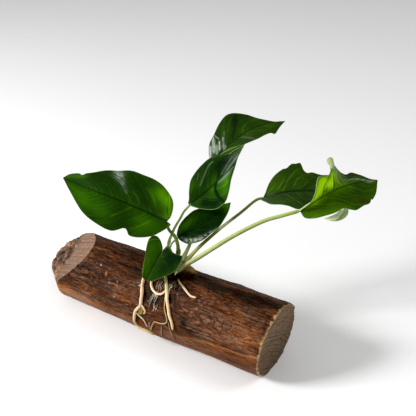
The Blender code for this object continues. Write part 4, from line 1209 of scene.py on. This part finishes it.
def make_leaf(name, upper_finish, lower_finish):
    """A blade quilted between its side veins, with a groove above the midrib and a rib below it."""
    look, leaf = BLADES[name], LEAVES[name]
    sheet, across, room, share, u = blade_points(leaf, look.get("nicks", []))
    seed = 100 + 7 * ord(name)
    away = np.abs(share)
    shift = np.where(share < 0, 0.43, 0) * smoothstep(0, 0.1, away)
    phase = look["veins"] * (u - 0.4 * away**1.25) + shift
    phase = phase + 0.05 * noise(u * 9, share * 3 + 4, seed) + 40
    normal = unit(np.cross(np.gradient(sheet, axis=1), np.gradient(sheet, axis=0)))
    normal[0], normal[-1] = normal[1], normal[-2]
    _, _, _, upper = leaf_frames(leaf, 5)
    if (normal[10, BLADE_COLUMNS] * upper[1]).sum() < 0:
        normal = -normal

    open_blade = smoothstep(0.4, 3.0, np.abs(across)) * smoothstep(0.1, 2.0, room)
    relief = np.where(share < 0, *look["relief"])
    quilt = relief * 2 * (np.abs(np.sin(math.pi * phase)) ** 1.5 - 0.5) * open_blade
    wave = 0.25 * noise(u * 7, share + 5, seed + 3) * away**2
    groove = -0.16 * hump(across, 0, 0.6) * (1 - u)
    thick = 0.5 - 0.22 * smoothstep(1.5, 0, room) + 0 * u
    rib = 0.75 * hump(across, 0, 1.05 - u) * (1 - 0.7 * u)
    middle = sheet + normal * (quilt + wave)[..., None]
    top = middle + normal * (thick / 2 + groove)[..., None]
    bottom = middle - normal * (thick / 2 + rib)[..., None]
    points = np.vstack([top.reshape(-1, 3), bottom.reshape(-1, 3)])
    faces = blade_faces(u.shape, points, normal)
    which = np.concatenate([np.zeros(len(faces[0])), np.ones(sum(map(len, faces[1:])))])

    def paint(spot_key, stroke_key):
        return soft_spots(u, share, look.get(spot_key, [])) + strokes(sheet, look.get(stroke_key, []))

    # tone holds painted light and shade along with the veins and patches, and sheen the painted shine
    looks = dict(tone=look["tone"] + paint("light", "lines"), sheen=np.clip(paint("sheen", "gloss"), 0, 1),
                 brown=np.clip(paint("brown", "rust"), 0, 1), phase=phase,
                 across=across / (1.1 - 0.75 * u), margin=room)
    values = {key: np.tile(numbers.reshape(-1), 2) for key, numbers in looks.items()}
    make_piece("leaf_" + name + "_blade", points, faces, [upper_finish, lower_finish],
               ("leaf_" + name,), which, values)


def make_flap(name, finish):
    """A curled part of a blade, a sheath or a web, between two edge lines."""
    first, second, crown, _ = FLAPS[name]
    rows, columns = 32, 14
    a, b = smooth_line(first, rows)[:, None], smooth_line(second, rows)[:, None]
    v = np.linspace(0, 1, columns)[None, :, None]
    sheet = a * (1 - v) + b * v
    normal = unit(np.cross(np.gradient(sheet, axis=1), np.gradient(sheet, axis=0)))
    along = np.linspace(0, 1, rows)[:, None]
    sheet = sheet + normal * 4 * crown * v * (1 - v) * np.sin(math.pi * along)[..., None] ** 0.5
    half = 0.08 + 0.12 * np.sin(math.pi * along)[..., None]
    points, faces = closed_sheet(sheet + half * normal, sheet - half * normal)
    flat = np.ones((rows, columns))
    values = dict(phase=along * 5 + 0.15 * v[..., 0] + 40, across=3 * flat, along=along * flat,
                  round=math.pi * v[..., 0] * flat)
    values = {key: np.tile(numbers.reshape(-1), 2) for key, numbers in values.items()}
    make_piece(name, points, [faces], [finish], (), None, values)


# Stalks, rhizome and roots

def make_stalk(name, finish):
    """A stalk that is thicker at its foot, grooved along its top and narrow where the leaf starts."""
    controls, base_radius, end_radius = PETIOLES[name]
    leaf = LEAVES[name]
    _, along, _, upper = leaf_frames(leaf, 3)
    end = np.array(leaf["base"]) - along[0] * 0.4 - upper[0] * 0.55
    path = even_line([*controls, tuple(end + along[0] * 0.9)], STALK_STEP)
    down = path[0] - unit(path[2] - path[0]) * 1.2
    path = np.vstack([down, path])
    t = np.linspace(0, 1, len(path))
    radii = base_radius + (end_radius - base_radius) * t
    flare = 1 + 0.35 * hump(t * len(path) * STALK_STEP, 0, 5)
    neck = 1 - 0.45 * smoothstep(0.97, 1.0, t)
    turn = full_turn(STALK_SIDES)
    from_top = (turn - math.pi / 2 + math.pi) % (2 * math.pi) - math.pi
    groove = 1 - 0.1 * hump(from_top, 0, 0.5)
    wobble = 1 + 0.03 * noise(t * len(path) / 6, 0 * t, 200 + ord(name))
    rings = tube_points(path, (radii * flare * neck * wobble)[:, None] * groove, STALK_SIDES)
    points, faces = tube_mesh(rings)
    rows = np.ones(len(path))[:, None]
    values = dict(along=tube_values(np.repeat(t, STALK_SIDES), 0, 1),
                  round=tube_values(rows * np.abs(turn - math.pi)), up=tube_values(rows * np.sin(turn)))
    make_piece("petiole_" + name + "_stalk", points, faces, [finish], ("petiole_" + name,),
               None, values)


def make_rhizome(finish):
    """The creeping stem, lumpy and with a narrow ring about every 3 mm."""
    step, sides = 0.45, 40
    path = even_line(RHIZOME, step)
    line, radii = path[:, :3], path[:, 3:]
    run = np.arange(len(line)) * step
    ring = np.maximum(0, np.cos(2 * math.pi * run / 3.3 + 1.6 * np.sin(0.9 * run))) ** 8
    turn = full_turn(sides)
    lumps = 1 + 0.07 * fractal(run[:, None] / 3.0, turn[None] * 6 / math.pi, 301, 3, 12)
    close = np.minimum(1, np.sqrt(np.minimum(run, run[-1] - run) / 1.5 + 0.25))
    radius = radii * lumps * (1 - 0.07 * ring[:, None]) * close[:, None]
    points, faces = tube_mesh(tube_points(line, radius, sides))
    values = dict(ring=tube_values(np.repeat(ring, sides), 0.3, 0.3),
                  up=tube_values(np.tile(np.sin(turn), len(line))))
    make_piece("rhizome_stem", points, faces, [finish], ("rhizome",), None, values)


def root_line(controls, radii, step):
    """The middle line of a root that lies on the bark, and its radius along it."""
    arc = LOG_RADIUS * math.pi / 180
    line = even_line([(x, angle * arc, sum(lift)) for x, angle, *lift in controls], step)
    radius = np.linspace(*radii, len(line))
    return on_log(line[:, 0], line[:, 1] / LOG_RADIUS, line[:, 2] + radius + 0.35 - ROOT_SINK), radius


def make_root(name, finish):
    """A root that sways and swells a little along its line, with a round tip."""
    controls, *radii = ROOTS[name]
    step, sides = 0.5, 16
    path, radius = root_line(controls, radii, step)
    seed = 400 + sum(map(ord, name))
    run = np.arange(len(path)) * step
    sway = np.stack([noise(run / 4, 0 * run + k, seed) for k in range(3)], axis=1)
    ease = smoothstep(0, 3, np.minimum(run, run[-1] - run))[:, None]
    path = path + 0.12 * sway * ease
    swell = 1 + 0.1 * fractal(run / 3.2, 0 * run, seed + 5, 3)
    tip = np.sqrt(np.clip((run[-1] - run) / (1.6 * radii[1]) + 0.02, 0, 1))
    knots = 1 + 0.05 * fractal(run[:, None] / 1.3, full_turn(sides)[None] * 4 / math.pi, seed + 9, 2, 8)
    points, faces = tube_mesh(tube_points(path, (radius * swell * tip)[:, None] * knots, sides))
    values = dict(along=tube_values(np.repeat(np.linspace(0, 1, len(path)), sides), 0, 1))
    make_piece("root_" + name + "_skin", points, faces, [finish], ("root_" + name,), None, values)


def make_hairs(name, finish):
    """The hair roots of one colour, as one mesh of thin tubes that lie on the bark."""
    random = np.random.default_rng(17 + len(name))
    points, faces, total = [], [], 0
    for start, spread, run, lift, count, radius, colour in TUFTS:
        for _ in range(count if colour == name else 0):
            first = np.array(start) + np.array(spread) * random.normal(0, 0.6, 2)
            reach = np.array(run) * random.uniform(0.5, 1.15) + random.normal(0, 0.5, 2) * (1, 3)
            steps = np.linspace(0, 1, 5)[:, None]
            line = first + steps * reach + random.normal(0, 1, (5, 2)) * (0.35, 1.1) * steps
            up = lift * random.uniform(0.1, 1) * np.sin(math.pi * np.linspace(0.25, 1, 5))
            path = smooth_line(np.column_stack([line, up]), HAIR_RINGS)
            path = on_log(path[:, 0], np.radians(path[:, 1]), path[:, 2] + 0.15)
            width = radius * random.uniform(0.7, 1.2) * np.linspace(1, 0.5, HAIR_RINGS)
            tube, quads = tube_mesh(tube_points(path, width, HAIR_SIDES))
            points.append(tube)
            faces += [group + total for group in quads]
            total += len(tube)
    make_piece(name, np.vstack(points), faces, [finish])


# Assembly

make_log()
make_rhizome(rhizome_material())
under = underside_material("leaf_underside", UNDERSIDE_COLOUR)
for name, look in BLADES.items():
    tuning = {key: look[key] for key in ("warmth", "ribs", "mottle", "broken") if key in look}
    make_leaf(name, leaf_material("leaf_upper_" + name, **tuning), under)
for name, stops in STALK_TONES.items():
    make_stalk(name, stalk_material("stalk_" + name, stops))
skins = {name: root_material(name, stops) for name, stops in ROOT_TONES.items()}
for name, skin in ROOT_SKINS.items():
    make_root(name, skins[skin])
for name, tone in HAIR_TONES.items():
    make_hairs(name, hair_material(name, tone))
finishes = {key: underside_material(key, colour) for key, colour in CURL_COLOURS.items()}
for key, stops in SHEATH_TONES.items():
    finishes[key] = stalk_material(key, stops)
for name, (_, _, _, key) in FLAPS.items():
    make_flap(name, finishes[key])


# Floor, light and camera

bpy.ops.mesh.primitive_plane_add(size=6, location=(0, 0, -0.0003))
floor = bpy.context.object
floor.name = "floor"
paint = Shader("floor_paint")
cloud = paint.noise(paint.place(), 0.004, 2)
floor.data.materials.append(paint.finish(paint.mix(cloud, (0.86,) * 3, (0.9,) * 3), 0.8))

world = bpy.data.worlds.new("studio")
world.use_nodes = True
background = world.node_tree.nodes["Background"]
background.inputs["Color"].default_value = (1, 1, 1, 1)
background.inputs["Strength"].default_value = 0.45
bpy.context.scene.world = world


def area_light(name, azimuth, elevation, distance, size, power):
    """A softbox in this direction from the plant, in degrees, facing it."""
    turn, rise = math.radians(azimuth), math.radians(elevation)
    target = Vector(LIGHT_TARGET)
    way = Vector((math.cos(rise) * math.cos(turn), math.cos(rise) * math.sin(turn), math.sin(rise)))
    place = target + distance * way
    light = bpy.data.lights.new(name, "AREA")
    light.shape = "SQUARE"
    light.size = size
    light.energy = power
    lamp = bpy.data.objects.new(name, light)
    bpy.context.scene.collection.objects.link(lamp)
    lamp.location = place
    lamp.rotation_euler = (target - place).to_track_quat("-Z", "Y").to_euler()


area_light("key", azimuth=226, elevation=30, distance=1.1, size=0.28, power=16)
area_light("fill", azimuth=25, elevation=45, distance=1.4, size=0.5, power=5)

camera_data = bpy.data.cameras.new("camera")
camera_data.lens = 60
camera_data.sensor_width = 36
camera = bpy.data.objects.new("camera", camera_data)
bpy.context.scene.collection.objects.link(camera)
turn = Matrix((CAMERA_RIGHT, CAMERA_UP, CAMERA_BACK)).transposed()
camera.matrix_world = Matrix.Translation(CAMERA_PLACE) @ turn.to_4x4()
bpy.context.scene.camera = camera
view = bpy.context.scene.view_settings
view.view_transform = "Standard"
view.use_curve_mapping = True
view.curve_mapping.black_level = (0.004, 0.004, 0.004)
view.curve_mapping.update()

bpy.context.view_layer.update()
